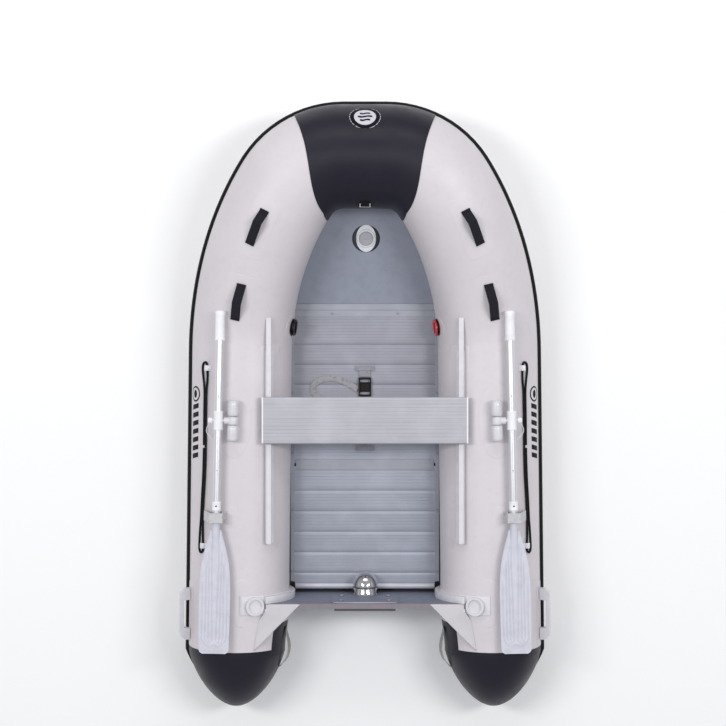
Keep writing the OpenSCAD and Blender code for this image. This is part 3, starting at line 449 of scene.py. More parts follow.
def shell(name, top, under, look, body="hull", port=False, crisp=50):
    """A closed sheet between two grids of the same size."""
    verts, faces, uvs = grid_data(top)
    lower, _, _ = grid_data(under)
    n, rows, cols = len(verts), len(top), len(top[0])
    back = [tuple(n + v for v in reversed(f)) for f in faces]
    back_uv = [tuple(reversed(t)) for t in uvs]
    rim = list(range(cols)) + [i * cols + cols - 1 for i in range(1, rows)]
    rim += [(rows - 1) * cols + j for j in range(cols - 2, -1, -1)]
    rim += [i * cols for i in range(rows - 2, 0, -1)]
    edge = [(a, b, n + b, n + a) for a, b in zip(rim, rim[1:] + rim[:1])]
    edge_uv = [((0, 0), (0.01, 0), (0.01, 0.002), (0, 0.002))] * len(edge)
    return add_piece(
        name, np.concatenate([verts, lower]), faces + back + edge, uvs + back_uv + edge_uv, look, body, port,
        crisp=crisp,
    )


def smooth_route(points, k):
    """Points on one smooth curve through the given ones, k steps between neighbours."""
    p = [Vector(q) for q in points]
    m = len(p) - 1
    out = []
    for i in range(m):
        a, b, c, d = p[max(0, i - 1)], p[i], p[i + 1], p[min(m, i + 2)]
        square, cube = 2 * a - 5 * b + 4 * c - d, 3 * b - a - 3 * c + d
        for t in (j / k for j in range(k)):
            out.append(0.5 * (2 * b + (c - a) * t + square * t * t + cube * t ** 3))
    return out + [p[m]]


def resample(points, step):
    """The same line with points a fixed distance apart."""
    p = [Vector(q) for q in points]
    length = [0.0]
    for a, b in zip(p, p[1:]):
        length.append(length[-1] + (b - a).length)
    count = max(2, round(length[-1] / step))
    out = []
    j = 0
    for i in range(count + 1):
        at = length[-1] * i / count
        while j < len(p) - 2 and length[j + 1] < at:
            j += 1
        out.append(p[j].lerp(p[j + 1], (at - length[j]) / max(1e-9, length[j + 1] - length[j])))
    return out


def sweep(name, path, section, look, body="hull", port=False, up=(0, 0, 1)):
    """A section of (side, up) points carried along a path; up may depend on the path's point."""
    path = [Vector(q) for q in path]
    m = len(path)
    rows = []
    for i, p in enumerate(path):
        d = (path[min(m - 1, i + 1)] - path[max(0, i - 1)]).normalized()
        reference = Vector(up(i) if callable(up) else up)
        side = d.cross(reference).normalized()
        top = side.cross(d)
        rows.append([p + side * x + top * y for x, y in section])
    return loft(name, rows, look, body, port)


def round_section(r, n):
    return [(r * cos(i * 360 / n), r * sin(i * 360 / n)) for i in range(n)]


def tape_section(w, t):
    """A flat band with rounded edges, w wide and t thick, centred."""
    r = t / 2
    right = [(w / 2 - r + r * cos(a), r * sin(a)) for a in np.linspace(-90, 90, 5)]
    return right + [(-w / 2 + r + r * cos(a), r * sin(a)) for a in np.linspace(90, 270, 5)]


def both_ends(half):
    """A profile given up to its middle, and its mirror image."""
    return [(r, -z) for r, z in half] + [(r, z) for r, z in reversed(half[:-1])]


def lathe(name, profile, matrix, look, body="hull", port=False, n=64, flutes=0, flute_depth=0.0):
    """A turned piece: profile of (radius, height) points about the matrix's +Z."""
    rows = []
    for r, z in profile:
        ring = []
        for i in range(n):
            a = i * 360 / n
            k = 1 - flute_depth * (0.5 - 0.5 * cos(flutes * a))
            ring.append(matrix @ Vector((r * k * cos(a), r * k * sin(a), z)))
        rows.append(ring)
    return loft(name, rows, look, body, port, crisp=35)


def on_patch(s, a, x, y, r):
    """A point x towards the bow and y round the tube from (s, a), both in metres."""
    return tube_pt(s + x, a + math.degrees(y / TUBE_R), r)


PATCH_SINK = 0.0012


def tube_patch(name, s, a, outline, lift, look, port=False, rings=7):
    """A thin patch bent over the tube, its edge rounded down into the fabric.

    The outline's points are (towards the bow, round the tube), in metres, seen from its middle.
    """
    n = len(outline)
    shares = [i / rings for i in range(1, rings)] + [0.985, 1.0]
    heights = [lift] * (rings - 1) + [lift * 0.8, -PATCH_SINK]
    verts = [on_patch(s, a, 0, 0, TUBE_R + lift)]
    for share, height in zip(shares, heights):
        verts += [on_patch(s, a, x * share, y * share, TUBE_R + height) for x, y in outline]
    verts.append(on_patch(s, a, 0, 0, TUBE_R - PATCH_SINK - 0.0004))
    bands = len(shares)

    def at(i, k):
        return 1 + i * n + k % n

    last = len(verts) - 1
    faces = [(0, at(0, k), at(0, k + 1)) for k in range(n)]
    for i in range(bands - 1):
        faces += [(at(i, k), at(i + 1, k), at(i + 1, k + 1), at(i, k + 1)) for k in range(n)]
    faces += [(last, at(bands - 1, k + 1), at(bands - 1, k)) for k in range(n)]
    flat = [(0, 0)] + [(x * share, y * share) for share in shares for x, y in outline] + [(0, 0)]
    uvs = [tuple(flat[v] for v in f) for f in faces]
    return add_piece(name, verts, faces, uvs, look, port=port, crisp=40)


def round_rect(length, width, r):
    """The outline of a rectangle with round corners, centred."""
    out = []
    for cx, cy, start in ((1, 1, 0), (-1, 1, 90), (-1, -1, 180), (1, -1, 270)):
        for a in (start + 15 * i for i in range(7)):
            out.append((cx * (length / 2 - r) + r * cos(a), cy * (width / 2 - r) + r * sin(a)))
    return refine(out)


def ellipse(length, width, n=40):
    return [(length / 2 * cos(i * 360 / n), width / 2 * sin(i * 360 / n)) for i in range(n)]


def refine(outline, step=0.012):
    """Adds points on an outline's long straight runs, so that it can bend with the tube."""
    out = []
    for (x0, y0), (x1, y1) in zip(outline, outline[1:] + outline[:1]):
        k = max(1, int(math.hypot(x1 - x0, y1 - y0) / step))
        out += [(x0 + (x1 - x0) * i / k, y0 + (y1 - y0) * i / k) for i in range(k)]
    return out


def prism(name, outline, depth, matrix, look, bevel, port=False):
    """A flat outline given depth along the matrix's +Z, with bevelled edges."""
    n = len(outline)
    verts = [matrix @ Vector((x, y, z)) for z in (0, depth) for x, y in outline]
    faces = [tuple(range(n)), tuple(range(n, 2 * n))]
    faces += [(i, (i + 1) % n, n + (i + 1) % n, n + i) for i in range(n)]
    uvs = [tuple((outline[v % n][0], outline[v % n][1]) for v in f) for f in faces]
    return add_bevel(add_piece(name, verts, faces, uvs, look, port=port, crisp=35), bevel, 40)


def add_bevel(made, width, angle):
    bevel = made.modifiers.new("bevel", "BEVEL")
    bevel.width = width
    bevel.segments = 2
    bevel.limit_method = "ANGLE"
    bevel.angle_limit = math.radians(angle)
    bevel.harden_normals = True
    return made


def shift(x=0.0, y=0.0, z=0.0):
    return Matrix.Translation((x, y, z))


def spin(degrees, axis):
    return Matrix.Rotation(math.radians(degrees), 4, axis)


SIDES = (("starboard", False), ("port", True))

make_camera()
make_stage()


def stands(made, slot, *replaced):
    """Hides the CAD nodes that a piece stands for; the piece and the finish named for it are not used."""
    if replaced:
        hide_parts(*replaced)


# ---------- hull fabric ----------


def steps(start, end, size):
    """Evenly spaced numbers from start to end, no more than size apart."""
    n = max(1, math.ceil(abs(end - start) / size))
    return [start + (end - start) * i / n for i in range(n + 1)]


def make_tubes():
    """The two air tubes, with a hair's gap at the bow and at the cones."""
    stations = steps(CONE_L + 0.0003, L4 - 0.0015, 0.024)
    for side, port in SIDES:
        rows = [[tube_pt(s, i * 5, TUBE_R) for i in range(72)] for s in stations]
        stands(loft("tube_fabric_" + side, rows, "tube", port=port, crisp=60), "tube_fabric", "tube_" + side)


def cone_r(t):
    """The stern cone's radius, t metres aft of its base."""
    return STERN_R * (1 - (t / CONE_L) ** 1.35) ** 0.55 if t < CONE_L else 0.0


def make_cones():
    """Tapered navy ends, each with a band lapped over the tube's end."""
    axis, out, _, _ = tube_frame(CONE_L)
    up = Vector((0, 0, 1))
    aft_frame = Matrix((out, up, out.cross(up))).transposed().to_4x4()
    aft_frame.translation = axis
    lap = [(STERN_R - 0.002, -0.02), (STERN_R + 0.0012, -0.0195), (STERN_R + 0.0012, 0.0)]
    taper = [(cone_r(t) + 0.0004, t) for t in [CONE_L * sin(i * 3.6) for i in range(1, 25)]]
    profile = lap + taper + [(0.0002, CONE_L - 0.0002)]
    for side, port in SIDES:
        cone = lathe("stern_cone_" + side, profile, aft_frame, "navy", port=port, n=96)
        stands(cone, "navy_fabric", "stern_cones")


COVER_OUT, COVER_IN = 24.6, 38.4
COVER_LOW, COVER_HIGH = 8.6, 196
BADGE_A = 50


def cover_edge(a):
    """Where the bow cover ends along the tube, at angle a round it."""
    phi = COVER_OUT + COVER_IN * ((1 - cos(a)) / 2) ** 3
    return L3 - math.radians(phi) * BOW_R


def make_bow():
    """The navy cover over the bow with its badge, and the pad under the towing ring's patch."""

    def skin(lift):
        rows = []
        for i in range(53):
            a = COVER_LOW + (COVER_HIGH - COVER_LOW) * i / 52
            half = L4 - cover_edge(a)
            rows.append([tube_pt(L4 + half * (-1 + j / 40), a, TUBE_R + lift) for j in range(81)])
        return rows

    stands(shell("bow_cover_fabric", skin(0.0026), skin(-0.0004), "navy", crisp=60), "navy_fabric", "bow_cover")
    badge = [
        ("badge_rim", ellipse(0.128, 0.128, 64), 0.0031, "emblem"),
        ("badge_band", ellipse(0.122, 0.122, 64), 0.0034, "mark"),
        ("badge_disc", ellipse(0.1, 0.1, 64), 0.0037, "emblem"),
    ]
    for name, outline, lift, look in badge:
        stands(tube_patch(name, L4, BADGE_A, outline, lift, look, rings=5), "light_plastic")
    for i, (y, w, h) in enumerate(((0.019, 0.052, 0.011), (0.0, 0.074, 0.012), (-0.019, 0.052, 0.011))):
        wave = [(x, h / 2 + 0.0035 * sin(x / w * 360)) for x in np.linspace(-w / 2, w / 2, 17)]
        bar = wave + [(x, z - h) for x, z in reversed(wave)]
        a = BADGE_A + math.degrees(y / TUBE_R)
        stands(tube_patch(f"badge_wave_{i}", L4, a, bar, 0.004, "mark", rings=3), "black_plastic")
    pad = tube_patch("bow_ring_pad", L4, 158, ellipse(0.082, 0.1), 0.0036, "black_web", rings=5)
    stands(pad, "black_webbing")


def make_strake():
    """The rubbing strake: a tape with a ribbed bead, from cone to cone round the bow."""
    half = [
        (0.0006, 0.0315), (0.0018, 0.031), (0.0024, 0.0235), (0.007, 0.0225), (0.0118, 0.0185),
        (0.0138, 0.0135), (0.0128, 0.0105), (0.0142, 0.008), (0.0158, 0.005), (STRAKE_PROUD, 0.0),
    ]
    section = both_ends(half)
    path = steps(CONE_L - 0.08, CONE_L, 0.008) + steps(CONE_L, L4, 0.022)[1:]
    rows = []
    for s in path:
        axis, out, _, up = tube_frame(s)
        share = clamp(1 - (CONE_L - s) / STRAKE_TAIL)
        skin = cone_r(CONE_L - s) if s < CONE_L else TUBE_R - slim(s)
        ring = []
        for q, v in section:
            a = math.degrees(v * (0.3 + 0.7 * share) / skin)
            ring.append(axis + (out * cos(a) + up * sin(a)) * (skin + 0.0006 + (q - 0.0006) * share))
        rows.append(ring)
    rows += [mirrored(ring) for ring in reversed(rows[:-1])]
    stands(loft("rub_strake_band", rows, "black_rubber", crisp=30), "black_rubber", "rub_strake")


SEAM_A, SEAM_R = 240, TUBE_R + 0.004
BOW_SEAM = tube_pt(L4, SEAM_A, SEAM_R)
KEEL_RISE_Y, KEEL_Z = 0.2, 0.004


def keel_line(y):
    """The height of the bottom's middle line."""
    w = clamp((y - KEEL_RISE_Y) / (BOW_SEAM.y - KEEL_RISE_Y))
    return KEEL_Z + (BOW_SEAM.z - KEEL_Z) * w ** 2.4


def make_bottom():
    """The bottom fabric, from seam to seam under the hull."""
    bend = s_at(KEEL_RISE_Y)
    stations = steps(s_at(TRANSOM_Y + 0.002), bend, 0.08) + steps(bend, L3, 0.03)[1:]

    def rows(lift):
        out = []
        for s in stations:
            e = tube_pt(s, SEAM_A, SEAM_R)
            low = keel_line(e.y)
            across = [(u, low + (e.z - low) * abs(u) ** 1.2 + lift) for u in np.linspace(-1, 1, 41)]
            out.append([Vector((e.x * u, e.y, z)) for u, z in across])
        return out

    stands(shell("bottom_skin", rows(0.002), rows(0), "bottom", crisp=60), "bottom_fabric", "bottom_fabric")


# ---------- floor ----------

PANEL_W = 0.312
SLATS = [
    (0.404, 0.266), (0.266, 0.18), (0.18, 0.094), (0.094, 0.008), (0.008, -0.02), (-0.032, -0.136),
    (-0.136, -0.241), (-0.253, -0.357), (-0.357, -0.445), (-0.445, -0.533), (-0.533, -0.621),
    (-0.621, -0.709), (-0.709, -0.76),
]
FORE_SLATS, RIB_PITCH = 4, 0.0145


def make_floor():
    """Hollow aluminium slats, each ribbed across and locked to the next; the fore ones carry painted shade."""
    for i, (fore, aft) in enumerate(SLATS):
        long = fore - aft
        ribs = max(1, round(long / RIB_PITCH))
        outline = [(-0.0001, -0.014), (-0.0001, -0.0007), (-0.0007, -0.0003), (-0.0014, 0)]
        pitch = (long - 0.008) / ribs
        for k in range(1, ribs):
            y = -0.004 - k * pitch
            outline += [(y + 0.001, 0), (y + 0.0005, -0.0004), (y - 0.0005, -0.0004), (y - 0.001, 0)]
        end = -long + 0.0001
        outline += [(-long + 0.0014, 0), (-long + 0.0007, -0.0003), (end, -0.0007), (end, -0.014)]
        xs = steps(-PANEL_W, PANEL_W, 0.16)
        rows = [[Vector((x, fore + y, FLOOR_TOP + z)) for y, z in outline] for x in xs]
        # The fore slats take the darker copy of the aluminium, a painted shade.
        look = "floor_fore_shaded" if i < FORE_SLATS else "floor"
        stands(loft(f"slat_{i:02d}", rows, look, crisp=25), "floor_aluminium", "floor_panels")


BENCH_Y, BENCH_TOP = -0.045, 0.445
BENCH_HALF, BENCH_DEPTH, BENCH_TALL = 0.411, 0.188, 0.028


def make_bench():
    """The bench's extruded box, with fine grooves along its top."""
    depth, tall, r, grooves = BENCH_DEPTH, BENCH_TALL, 0.004, 12
    outline = []
    for cy, cz, start in ((1, 1, 0), (-1, 1, 90), (-1, -1, 180), (1, -1, 270)):
        for a in (start + 22.5 * k for k in range(5)):
            outline.append((cy * (depth / 2 - r) + r * cos(a), -tall / 2 + cz * (tall / 2 - r) + r * sin(a)))
        if start == 0:
            for i in reversed(range(grooves)):
                y = -depth / 2 + 0.0128 + i * 0.163 / (grooves - 1)
                outline += [(y + 0.0009, 0), (y + 0.0004, -0.0004), (y - 0.0004, -0.0004), (y - 0.0009, 0)]
    xs = steps(-BENCH_HALF, BENCH_HALF, 0.14)
    rows = [[Vector((x, BENCH_Y + y, BENCH_TOP + z)) for y, z in outline] for x in xs]
    stands(loft("bench_box", rows, "bench", "seat", crisp=28), "brushed_aluminium", "seat_bench")


BOARD_AFT, BOARD_SLOPE = 0.441, 14
KEEL_VALVE_X, KEEL_VALVE_Y = 0.005, 0.712


def board_line(y):
    """The height of the bow board's top."""
    return FLOOR_TOP + 0.002 + (y - BOARD_AFT) * math.tan(math.radians(BOARD_SLOPE))


def make_keel_valve():
    """The keel's valve in the bow board's round opening."""
    place = shift(KEEL_VALVE_X, KEEL_VALVE_Y, board_line(KEEL_VALVE_Y)) @ spin(BOARD_SLOPE, "X")
    outline = ellipse(0.084, 0.117, 64)
    flange = prism("keel_valve_flange", outline, 0.0035, place @ shift(z=-0.0105), "white_plastic", 0.0012)
    stands(flange, "white_plastic", "keel_valve")
    ring = [
        (0.0302, -0.0072), (0.0398, -0.0072), (0.0392, -0.0045), (0.0375, -0.0025), (0.0345, -0.0008),
        (0.031, -0.0008), (0.03, -0.002), (0.03, -0.006), (0.0302, -0.0072),
    ]
    stands(lathe("keel_valve_ring", ring, place, "white_plastic"), "white_plastic", "keel_valve")


def make_transom():
    """The board's sealed top edge, a light rod along the inner plate's top that is a painted highlight, and the
    fabric webs.
    """
    edge = [(-0.378, 0), (0.378, 0), (0.378, 0.0208), (-0.378, 0.0208)]
    place = shift(0, TRANSOM_Y - TRANSOM_T + 0.0001, TRANSOM_TOP)
    stands(prism("transom_edge", edge, 0.0012, place, "edge", 0.0004), "transom_board")
    # A thin light rod along the inner plate's top edge: a painted highlight.
    plate = [Vector((x, TRANSOM_Y + 0.0033, PLATE_TOP)) for x in (-0.126, 0.126)]
    stands(sweep("plate_edge_highlight", plate, round_section(0.0022, 12), "trim_highlight"), "brushed_aluminium")
    inner = Vector((0.266, -0.795, 0.3945))
    outer = Vector((0.404, -0.795, 0.3945))
    corner = Vector((0.404, -0.822, 0.3955))
    on_top = tube_pt(s_at(-0.862), 117, TUBE_R + 0.0025)
    tip = tube_pt(s_at(-0.982), 114, TUBE_R + 0.003)
    rows = []
    for i in range(17):
        v = i / 16
        start = inner.lerp(tip, v)
        end = outer.lerp(corner, v / 0.4) if v < 0.4 else corner.lerp(on_top, (v - 0.4) / 0.6)
        sag = 0.004 * sin(277 * max(0, v - 0.35))
        rows.append([start.lerp(end, j / 10) - Vector((0, 0, sag * sin(18 * j))) for j in range(11)])
    under = [[p - Vector((0, 0, 0.0016)) for p in row] for row in rows]
    path = [inner.lerp(tip, i / 12) + Vector((0, 0, 0.001)) for i in range(13)]
    for side, port in SIDES:
        # The webs take the darker copy of the tube fabric, a painted shade.
        web = shell("web_" + side, rows, under, "web_fabric_shaded", port=port)
        stands(web, "tube_fabric", "transom_webs")
        hem = sweep("web_hem_" + side, path, round_section(0.0016, 12), "web_fabric_shaded", port=port)
        stands(hem, "tube_fabric", "transom_webs")


# ---------- fittings on the tubes ----------

# Each carry handle's y, its angle round the tube, its lift and where it bends
HANDLES = [(0.771, 86, 0.001, 0.026), (0.491, 87, 0.005, 0.004)]
# Each line holder's y and its angle round the tube
HOLDERS = [(0.165, 53.4), (-0.56, 49.75)]
PIN_Y = -0.046
PIN_S = s_at(PIN_Y)


def make_patches():
    """The reinforcement patches glued under every fitting."""
    handle_pad, line_pad = round_rect(0.226, 0.12, 0.022), ellipse(0.088, 0.088)
    spots = [(f"handle_patch_{i}", h[0], h[1], handle_pad, 0.0008) for i, h in enumerate(HANDLES)]
    spots += [
        ("oarlock_patch", PIN_Y, 86, ellipse(0.31, 0.145, 64), 0.0013),
        ("valve_patch", 0.366, 170, ellipse(0.13, 0.13, 48), 0.0012),
        ("track_patch", -0.155, 129.3, round_rect(0.86, 0.1, 0.02), 0.0006),
        ("stern_handle_patch", -0.855, 17, round_rect(0.27, 0.086, 0.02), 0.0016),
        ("strap_patch", PIN_Y - 0.391, 76, round_rect(0.086, 0.116, 0.014), 0.001),
        ("transom_patch", -0.789, 162, round_rect(0.2, 0.54, 0.03), 0.0004),
    ]
    spots += [(f"line_patch_{i}", y, a, line_pad, 0.0008) for i, (y, a) in enumerate(HOLDERS)]
    loop_pad = round_rect(0.136, 0.27, 0.012)
    for side, port in SIDES:
        for name, y, a, outline, lift in spots:
            patch = tube_patch(f"{name}_{side}", s_at(y), a, outline, lift, "patch", port)
            stands(patch, "tube_fabric")
        patch = tube_patch(f"loop_patch_{side}", s_at(-0.95), 176, loop_pad, 0.0011, "navy", port)
        stands(patch, "navy_fabric")
        make_marks(side, port)


def make_marks(side, port):
    """Plain printed shapes where such boats carry a name."""
    s, a = s_at(0.0), 29
    ovals = (
        ("rim", ellipse(0.066, 0.078), 0.0004, "mark"), ("field", ellipse(0.052, 0.062), 0.0006, "tube"),
        ("core", ellipse(0.034, 0.03), 0.0008, "mark"),
    )
    for name, outline, lift, look in ovals:
        oval = tube_patch(f"mark_{name}_{side}", s + 0.058, a, outline, lift, look, port)
        stands(oval, "navy_fabric")
    bar = refine([(-0.015, -0.029), (0.005, -0.029), (0.015, 0.029), (-0.005, 0.029)], 0.006)
    for i, x in enumerate((0.006, -0.028, -0.062, -0.096, -0.13, -0.164, -0.196)):
        patch = tube_patch(f"mark_bar_{i}_{side}", s + x, a, bar, 0.0004, "mark", port, 3)
        stands(patch, "navy_fabric")


def make_handles():
    """Webbing carry handles: a loose strap pulled up into a bend near its fore end."""
    tape = tape_section(0.038, 0.0034)
    straps = []
    for y, a, lift, bend in HANDLES:
        m = on_tube(s_at(y), a, TUBE_R + lift + 0.0012)
        fore = [(0.077, 0.0012), (0.071, 0.0012), (0.064, 0.003)]
        aft = []
        for t in (0.3, 0.6, 0.85):
            z = 0.003 + 0.034 * t ** 0.9
            fore.append((0.064 + (bend + 0.006 - 0.064) * t, z))
            aft.insert(0, (-0.064 + (bend - 0.006 + 0.064) * t, z))
        route = fore + [(bend + 0.004, 0.0388), (bend, 0.0398), (bend - 0.004, 0.0388)] + aft
        route += [(-0.064, 0.003), (-0.071, 0.0012), (-0.077, 0.0012)]
        path = resample(smooth_route([m @ Vector((0, p, z)) for p, z in route], 5), 0.0035)
        straps.append((path, m.to_3x3() @ Vector((0, 0, 1))))
    for side, port in SIDES:
        for i, (path, normal) in enumerate(straps):
            strap = sweep(f"carry_handle_{i}_{side}", path, tape, "black_web", port=port, up=normal)
            stands(strap, "black_webbing", "carry_handles")


LOOP_ROUTE = [
    (0.326, -0.911), (0.324, -0.927), (0.317, -0.955), (0.311, -0.985), (0.312, -1.015), (0.321, -1.042),
    (0.339, -1.064), (0.357, -1.08),
]
TAIL_ROUTE = [
    (-0.03, 0.072), (-0.06, 0.092), (-0.1, 0.112), (-0.15, 0.122), (-0.195, 0.112), (-0.222, 0.084),
    (-0.212, 0.05), (-0.18, 0.03), (-0.14, 0.014),
]


def make_webbing():
    """The stern loops, and the strap that ties a fuel tank to the floor."""
    route = []
    for i, (x, y) in enumerate(LOOP_ROUTE):
        k = sin(i * 180 / (len(LOOP_ROUTE) - 1))
        route.append((x + 0.0055 * k, y, 0.2555 - 0.003 * i - 0.0015 * k))
    path = resample(smooth_route(route, 6), 0.005)
    last = len(path) - 1
    lean = [Vector((0.44 * sin(i * 180 / last), 0, 1)) for i in range(last + 1)]
    upright = [(y, x) for x, y in tape_section(0.026, 0.0026)]
    for side, port in SIDES:
        loop = sweep("stern_loop_" + side, path, upright, "pale_web", port=port, up=lambda i: lean[i])
        stands(loop, "grey_webbing", "stern_loops")
    z = FLOOR_TOP + 0.0058
    for name, y0, y1 in (("tank_strap_fore", 0.159, 0.1262), ("tank_strap_aft", 0.0438, -0.169)):
        ys = steps(y0, y1, 0.006)
        path = [Vector((0.0008 * math.sin(y * 40), y, z + 0.0006 * math.sin(y * 55))) for y in ys]
        stands(sweep(name, path, tape_section(0.049, 0.0022), "grey_web"), "grey_webbing", "tank_strap")
    path = resample(smooth_route([(x, y, 0.1042) for x, y in TAIL_ROUTE], 8), 0.004)
    lifted = [p + Vector((0, 0, 0.0007 * math.sin(i * 0.4))) for i, p in enumerate(path)]
    tail = sweep("tank_strap_tail", lifted, tape_section(0.025, 0.0018), "tail_web")
    stands(tail, "grey_webbing", "tank_strap")


LINE_R, LINE_GAP, LANYARD_R = 0.0045, 0.0016, 0.0015
# The grab line's y and its angle round the tube, and the lanyard's points in the oar's frame
LINE_ROUTE = [
    (-0.15, 49.6), (-0.06, 49.5), (0.02, 49.6), (0.07, 49.6), (0.105, 48.6), (0.135, 47.2), (0.16, 46.2),
    (0.18, 47), (0.189, 49.8), (0.184, 52.6), (0.172, 53.3), (0.158, 53.5), (0.14, 53.9), (0.11, 53.6),
    (0.075, 52.6), (0.02, 52.3), (-0.06, 52.2), (-0.17, 52.3), (-0.27, 51.6), (-0.37, 49.9), (-0.45, 49),
    (-0.5, 49.1), (-0.545, 49.6), (-0.572, 49.9), (-0.584, 48.8), (-0.589, 46.7), (-0.584, 44.6),
    (-0.568, 43.6), (-0.53, 44), (-0.49, 44.9), (-0.455, 45.9), (-0.37, 47.2), (-0.27, 48.9), (-0.161, 49.6),
]
LANYARD_ROUTE = [
    (0.106, -0.009, -0.01), (0.111, -0.015, -0.017), (0.118, -0.024, -0.027), (0.123, -0.035, -0.034),
    (0.123, -0.048, -0.037), (0.116, -0.06, -0.034), (0.107, -0.069, -0.027), (0.099, -0.075, -0.018),
    (0.094, -0.079, -0.009), (0.0916, -0.08, -0.001),
]
OAR_Z = 0.455
OAR_X = 0.073
OAR_ANGLE = 1.17
BARREL_X = 0.013


def oar_frame():
    """The oarlock's frame: +Y along the stowed oar, +X outboard, the origin on the tilt axis."""
    x, y = plan(PIN_S)
    return shift(x, y, OAR_Z) @ spin(OAR_ANGLE, "Z")


def line_length(points):
    return sum((b - a).length for a, b in zip(points, points[1:]))


def make_lines():
    """The grab line looped through its two holders on each side, and each knob's lanyard."""
    frame_in = oar_frame()
    for side, port in SIDES:
        on_side = [tube_pt(s_at(y), a, TUBE_R + LINE_R + LINE_GAP) for y, a in LINE_ROUTE]
        path = resample(smooth_route(on_side, 6), 0.004)
        rope = sweep("grab_line_" + side, path, round_section(LINE_R, 14), "rope", port=port)
        stands(rope, "black_rope", "side_line_" + side)
        centre = mirrored(path) if port else path
        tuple(centre[0])
        line_length(centre)
        [tuple(p) for p in centre]
        path = [frame_in @ p for p in resample(smooth_route(LANYARD_ROUTE, 6), 0.003)]
        cord = sweep("knob_lanyard_" + side, path, round_section(LANYARD_R, 10), "cord", "oar_" + side, port)
        stands(cord, "white_cord", "lanyard_" + side)
        centre = mirrored(path) if port else path
        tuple(centre[0])
        line_length(centre)
        [tuple(p) for p in centre]


# ---------- oars ----------


def make_oarlocks():
    """Each oarlock: two glued feet, each with a rounded barrel for the swivel's axle, and the knob."""
    frame_in = oar_frame()
    foot_z = 2 * TUBE_R + 0.002 - OAR_Z
    foot, waist = round_rect(0.07, 0.045, 0.016), round_rect(0.062, 0.05, 0.014)
    half = [(0.0132, 0.033), (0.0182, 0.0315), (0.0212, 0.0285), (0.0228, 0.0235), (0.0233, 0.0175), (0.023, 0)]
    barrel = [(0.0086, -0.033)] + both_ends(half) + [(0.0086, 0.033), (0.0086, -0.033)]
    knob = [
        (0.0064, 0.009), (0.0064, 0.0), (0.0098, 0.0), (0.0112, 0.0012), (0.0115, 0.003), (0.0115, 0.0125),
        (0.0108, 0.0153), (0.0085, 0.0168), (0.0002, 0.017),
    ]
    for side, port in SIDES:
        for k in (-1, 1):
            m = frame_in @ shift(BARREL_X - 0.0005, k * 0.051, foot_z) @ spin(90, "Z")
            made = prism(f"oarlock_foot_{k}_{side}", foot, 0.0055, m, "clear_grey", 0.002, port)
            stands(made, "light_plastic", "oarlock_bases")
            neck = [
                [m @ Vector((x * t, y * t * 0.62, z)) for x, y in waist]
                for t, z in ((0.98, 0.003), (0.94, 0.009), (0.9, 0.02), (0.88, 0.03))
            ]
            made = loft(f"oarlock_neck_{k}_{side}", neck, "clear_grey", port=port, crisp=50)
            stands(made, "light_plastic")
            m = frame_in @ shift(BARREL_X, k * 0.05, 0) @ spin(-90, "X")
            made = lathe(f"oarlock_barrel_{k}_{side}", barrel, m, "clear_grey", port=port, n=56)
            stands(made, "light_plastic", "oarlock_bases")
        m = frame_in @ shift(BARREL_X + 0.084, 0, 0) @ spin(90, "Y")
        made = lathe("knob_cap_" + side, knob, m, "white_plastic", "knob_" + side, port, 72, 12, 0.09)
        stands(made, "white_plastic", "knob_" + side)


SHAFT_R, SHAFT_END, FERRULE_R = 0.016, 0.435, 0.0178
BLADE_START, BLADE_TIP = -0.41, -0.94
BLADE_CORNER, BLADE_END_HALF = 0.02, 0.0605
# The blade's half width, by how far down the oar it is from the pin
BLADE_YS = (0.41, 0.43, 0.455, 0.48, 0.51, 0.54, 0.57, 0.6, 0.64, 0.7, 0.8, 0.88, 0.92, 0.95)
BLADE_HALVES = (
    0.0165, 0.0185, 0.0245, 0.0315, 0.0405, 0.0475, 0.0535, 0.0575, 0.0605, 0.0625, 0.0622, 0.061,
    BLADE_END_HALF, BLADE_END_HALF,
)
# Each rib's distance from the middle at the neck and near the tip, where it turns, where it starts
BLADE_RIBS = (
    (0.017, 0.008, -0.88, -0.46), (0.026, 0.0225, -0.872, -0.5), (0.034, 0.0365, -0.865, -0.54),
    (0.05, 0.05, -0.86, -0.62),
)


def blade_half(y):
    tip, corner = y - BLADE_TIP, BLADE_CORNER
    if tip < corner:
        return BLADE_END_HALF - corner + math.sqrt(max(0.0, corner ** 2 - (corner - tip) ** 2))
    return float(np.interp(-y, BLADE_YS, BLADE_HALVES))


def rib(distance, width):
    """A rounded ridge's height, from 0 to 1, at a distance from its crest."""
    return math.exp(-((distance / width) ** 2))


def blade_height(x, y):
    """Half thickness of the blade: a thin web with an edge bead and long stiffening ribs."""
    h = 0.0016
    x = abs(x)
    for neck, near_tip, bend_y, start in BLADE_RIBS:
        half = neck + (near_tip - neck) * min(1.0, (-0.46 - y) / 0.42)
        d = abs(x - half) if y > bend_y else abs(math.hypot(x, y - bend_y) - half)
        h += 0.0036 * smooth((start - y) / 0.05) * rib(d, 0.0022)
    h += 0.0016 * rib(blade_half(y) - x, 0.004)
    return h


